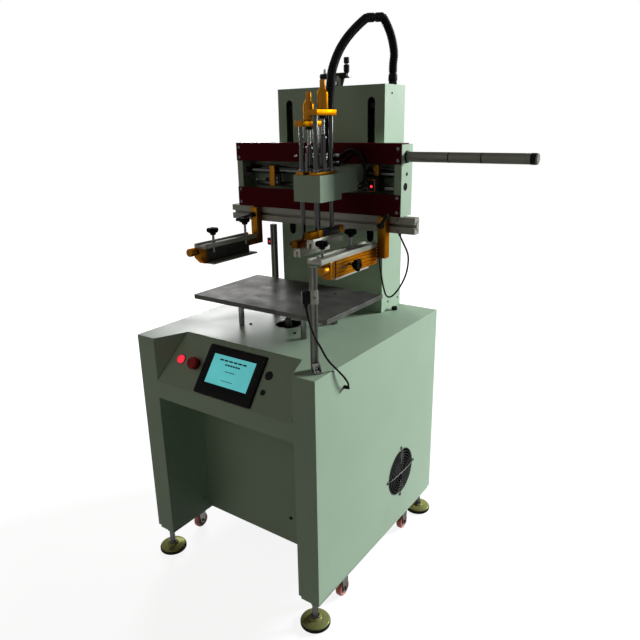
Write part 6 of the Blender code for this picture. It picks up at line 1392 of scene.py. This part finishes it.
def make_arm(side, s):
    """One screen arm with its star screws, fine adjuster and clamp lever."""
    facts = ARMS[side]
    arm = Piece(f"{side}_screen_arm")
    top, under, web_low = 0.941, 0.929, 0.884
    front, back = -0.168, facts["back"]

    def bar(near, far, y0, y1, z0, z1, finish, edge=0.0006):
        """A block that reaches from near to far on the arm's own side."""
        arm.add(block((s * near, y0, z0), (s * far, y1, z1), edge), finish)

    channel = [(0.1715, under), (0.2145, under), (0.2145, top), (0.212, top), (0.211, top - 0.0012),
               (0.2095, top), (0.2075, top), (0.2075, top - 0.004), (0.1785, top - 0.004), (0.1785, top),
               (0.1765, top), (0.175, top - 0.0012), (0.174, top), (0.1715, top)]
    arm.add(slab([(s * u, v) for u, v in channel], "Y", front, back, 0.0003), "silver_rail")
    web_front, web_back = facts["front"], facts["web_back"]
    bar(0.202, 0.2075, web_front + 0.001, web_back, web_low, under + 0.001, "grey_steel_plate")
    rib_back = min(web_back, 0.1005)
    ribs = 5
    height = (under - web_low) / ribs
    outline = [(0.207, web_low)]
    for i in range(ribs):
        low = web_low + i * height
        outline += [(0.2145, low), (0.2145, low + height * 0.26), (0.2122, low + height * 0.36),
                    (0.2122, low + height * 0.66), (0.2145, low + height * 0.76)]
    outline += [(0.2145, under), (0.207, under)]
    arm.add(slab([(s * u, v) for u, v in outline], "Y", web_front, rib_back, 0.0003), "gold_anodised_along")
    bar(0.1715, 0.212, max(web_front, -0.14), facts["lip_back"], facts["lip_low"], 0.8855, "silver_rail",
        0.0008)
    end_front, nose = web_front - 0.027, facts["nose"]
    profile = [(end_front, web_low + nose), (web_front - 0.009, web_low), (web_front + 0.001, web_low),
               (web_front + 0.001, under), (end_front, under)]
    inside, outside = s * 0.1905, s * 0.2145
    if nose:
        arm.add(slab(profile, "X", inside, outside, 0.001), GOLD_PLATE)
    else:
        arm.add(slab([(end_front, web_low), (end_front + 0.009, web_low), (end_front + 0.009, under),
                      (end_front, under)], "X", inside, outside, 0.0008), GOLD_PLATE)
        arm.add(slab([(end_front + 0.01, web_low), (web_front + 0.001, web_low), (web_front + 0.001, under),
                      (end_front + 0.01, under)], "X", s * 0.1925, s * 0.2095, 0.0008), GOLD_PLATE)
        arm.add(round_bar(0.0042, web_low + 0.003, under - 0.004, 0.0006), "gold_turned",
                at(s * 0.2098, end_front + 0.0175, 0))
        arm.add(button_screw(0.0028), DARK, aim((s * 0.2138, end_front + 0.0045, 0.9225), (s, 0, 0)))
    bar(0.2135, 0.238, 0.101, 0.1257, 0.898, 1.0097, GOLD_PLATE, 0.001)
    if web_back < 0.1:
        bar(0.2122, 0.2376, web_back - 0.016, 0.103, 0.8985, under - 0.0003, "gold_anodised_along", 0.0008)
    inner = s * 0.202
    for y, z in ((-0.1052 if side == "left" else -0.07, 0.9083), (0.0113, 0.9182)):
        if y > web_front:
            arm.add(turned([(0, 0), (0.0062, 0, "star"), (0.0062, 0.0022, "star"), (0, 0.0026)], 40), DARK,
                    aim((inner, y, z), (-s, 0, 0)))
    for radius, y in ((0.0042, -0.064), (0.0034, -0.077)):
        arm.screw(radius, DARK, (s * 0.2122, y, 0.906), (s, 0, 0))
    arm.done(f"{side}_arm", "gold_anodised", f"{side}_arm")

    for place, y in (("front", -0.122), ("rear", 0.012)):
        z = facts[f"{place}_screw"]
        star_screw(f"{side}_{place}_screw", (s * 0.185, y, z), (0, 0, 1), z - 0.912)
    star_screw(f"{side}_side_screw", (s * 0.24, -0.045, 0.91), (s, 0, 0), 0.043)

    fine = Piece(f"{side}_fine_adjuster_knob")
    place = aim((s * 0.205, end_front, facts["fine"]), FRONT)
    fine.add(turned([(0, -0.0118), (0.0036, -0.0118), (0.0036, 0.0006), (0.0078, 0.0006), (0.0085, 0.004),
                     (0.0108, 0.006), (0.0113, 0.0072, "knurl"), (0.0113, 0.0262, "knurl"),
                     (0.0104, 0.0278), (0.004, 0.0279), (0.0036, 0.027), (0, 0.027)], 96), "gold_turned",
             place)
    fine.done(f"{side}_fine_adjuster", "gold_anodised", f"{side}_fine_adjuster")

    lever = Piece(f"{side}_clamp_lever")
    hub = Vector((s * 0.2265, 0.1007, 0.988))
    place = aim(hub, FRONT)
    lever.add(softened([(0, 0), (0.0076, 0), (0.008, 0.002), (0.0078, 0.011), (0.0066, 0.0138),
                        (0, 0.0139)], 0.001, 44), BLACK, place)
    lever.add(button_screw(0.0034), BLACK, place @ aim((0, 0, 0.0128)))
    lever.add(round_bar(0.0033, -0.031, 0.0, 0.0003, 24), ROD, place)
    lever.add(round_bar(0.0062, -0.034, -0.0305, 0.0004, 24), ROD, place)
    reach, angle = facts["lever"]
    angle, lean = math.radians(angle), math.radians(20)
    way = Vector((math.cos(angle) * math.cos(lean), -math.sin(lean), math.sin(angle) * math.cos(lean)))
    root = hub - Vector((0, 0.007, 0))
    grip = [(0, 0.004), (0.15, 0.0042), (0.35, 0.0048), (0.6, 0.0055), (0.85, 0.0057), (0.95, 0.0051),
            (0.995, 0.003)]
    lever.add(tube([root + way * reach * share for share, _ in grip], [radius for _, radius in grip], 24),
              BLACK)
    lever.done(f"{side}_lever", "black_plastic", f"{side}_lever")


# Operators, panel and registration

class MACHINE_OT_finishes(bpy.types.Operator):
    """Make every paint, metal, plastic and lamp finish"""
    bl_idname = "machine.finishes"
    bl_label = "Finishes"

    def execute(self, context):
        scene = context.scene
        make_finishes(scene.machine_colours, scene.machine_sizes, scene.machine_lights)
        return {"FINISHED"}


class MACHINE_OT_studio(bpy.types.Operator):
    """Set the camera, floor, lamps and background"""
    bl_idname = "machine.studio"
    bl_label = "Camera and studio"

    def execute(self, context):
        place_camera()
        make_studio(context.scene.machine_lights)
        return {"FINISHED"}


class MACHINE_OT_cables(bpy.types.Operator):
    """Lay the ribbed conduit, the sensor cables and the air hoses"""
    bl_idname = "machine.cables"
    bl_label = "Conduit, cables and hoses"

    def execute(self, context):
        sizes = context.scene.machine_sizes
        make_conduits(sizes)
        make_cables(sizes)
        make_air_hoses(sizes)
        return {"FINISHED"}


class MACHINE_OT_sheet_metal(bpy.types.Operator):
    """Paint the cabinet, column, head and table"""
    bl_idname = "machine.sheet_metal"
    bl_label = "Sheet metal and plates"

    def execute(self, context):
        finish_sheet_metal()
        return {"FINISHED"}


class MACHINE_OT_feet(bpy.types.Operator):
    """Build the underframe, levelling feet and casters"""
    bl_idname = "machine.feet"
    bl_label = "Feet and casters"

    def execute(self, context):
        make_feet_and_wheels()
        return {"FINISHED"}


class MACHINE_OT_console(bpy.types.Operator):
    """Build the operator screen, buttons and plugs"""
    bl_idname = "machine.console"
    bl_label = "Console"

    def execute(self, context):
        make_operator_screen()
        make_buttons()
        return {"FINISHED"}


class MACHINE_OT_fan(bpy.types.Operator):
    """Build the fan with its wire guard"""
    bl_idname = "machine.fan"
    bl_label = "Cooling fan"

    def execute(self, context):
        make_fan(context.scene.machine_sizes)
        return {"FINISHED"}


class MACHINE_OT_table(bpy.types.Operator):
    """Build the table's screws and spindle, and the sensor posts"""
    bl_idname = "machine.table"
    bl_label = "Table and sensor posts"

    def execute(self, context):
        make_table_details()
        make_posts()
        return {"FINISHED"}


class MACHINE_OT_column(bpy.types.Operator):
    """Build the valve, gland, screws and rear door latch"""
    bl_idname = "machine.column"
    bl_label = "Column fittings"

    def execute(self, context):
        make_column_top()
        make_column_details()
        return {"FINISHED"}


class MACHINE_OT_head(bpy.types.Operator):
    """Build the head's screws, shafts, stroke cylinder and stops"""
    bl_idname = "machine.head"
    bl_label = "Print head"

    def execute(self, context):
        make_head_details(context.scene.machine_sizes)
        make_stroke_cylinder()
        make_stops()
        return {"FINISHED"}


class MACHINE_OT_carriage(bpy.types.Operator):
    """Build the carriage fittings and the squeegee and flood bar units"""
    bl_idname = "machine.carriage"
    bl_label = "Carriage and units"

    def execute(self, context):
        make_carriage_details()
        for name, x, drop in UNITS:
            make_unit(name, x, drop)
        return {"FINISHED"}


class MACHINE_OT_arms(bpy.types.Operator):
    """Build the two screen arms with their knobs and levers"""
    bl_idname = "machine.arms"
    bl_label = "Screen arms"

    def execute(self, context):
        for side, s in SIDES:
            make_arm(side, s)
        return {"FINISHED"}


OPERATORS = (MACHINE_OT_finishes, MACHINE_OT_studio, MACHINE_OT_cables, MACHINE_OT_sheet_metal,
             MACHINE_OT_feet, MACHINE_OT_console, MACHINE_OT_fan, MACHINE_OT_table, MACHINE_OT_column,
             MACHINE_OT_head, MACHINE_OT_carriage, MACHINE_OT_arms)


class MACHINE_PT_panel(bpy.types.Panel):
    """Lists what builds the machine, and its sizes and colours"""
    bl_label = "Printing Machine"
    bl_space_type = "VIEW_3D"
    bl_region_type = "UI"
    bl_category = "Printing Machine"

    def draw(self, context):
        layout = self.layout
        for operator in OPERATORS:
            layout.operator(operator.bl_idname)
        for title, name in (("Colours", "machine_colours"), ("Sizes", "machine_sizes"),
                            ("Lights", "machine_lights")):
            group = getattr(context.scene, name)
            layout.label(text=title)
            for key in group.__annotations__:
                layout.prop(group, key)


CLASSES = (MachineColours, MachineSizes, MachineLights, *OPERATORS, MACHINE_PT_panel)


def register():
    """Add the add-on's classes and settings."""
    for cls in CLASSES:
        bpy.utils.register_class(cls)
    bpy.types.Scene.machine_colours = PointerProperty(type=MachineColours)
    bpy.types.Scene.machine_sizes = PointerProperty(type=MachineSizes)
    bpy.types.Scene.machine_lights = PointerProperty(type=MachineLights)


def unregister():
    """Take them away again."""
    del bpy.types.Scene.machine_lights, bpy.types.Scene.machine_sizes, bpy.types.Scene.machine_colours
    for cls in reversed(CLASSES):
        bpy.utils.unregister_class(cls)


def main():
    """Register the add-on, then build everything."""
    register()
    for operator in OPERATORS:
        group, name = operator.bl_idname.split(".")
        getattr(getattr(bpy.ops, group), name)()


if __name__ == "__main__":
    main()
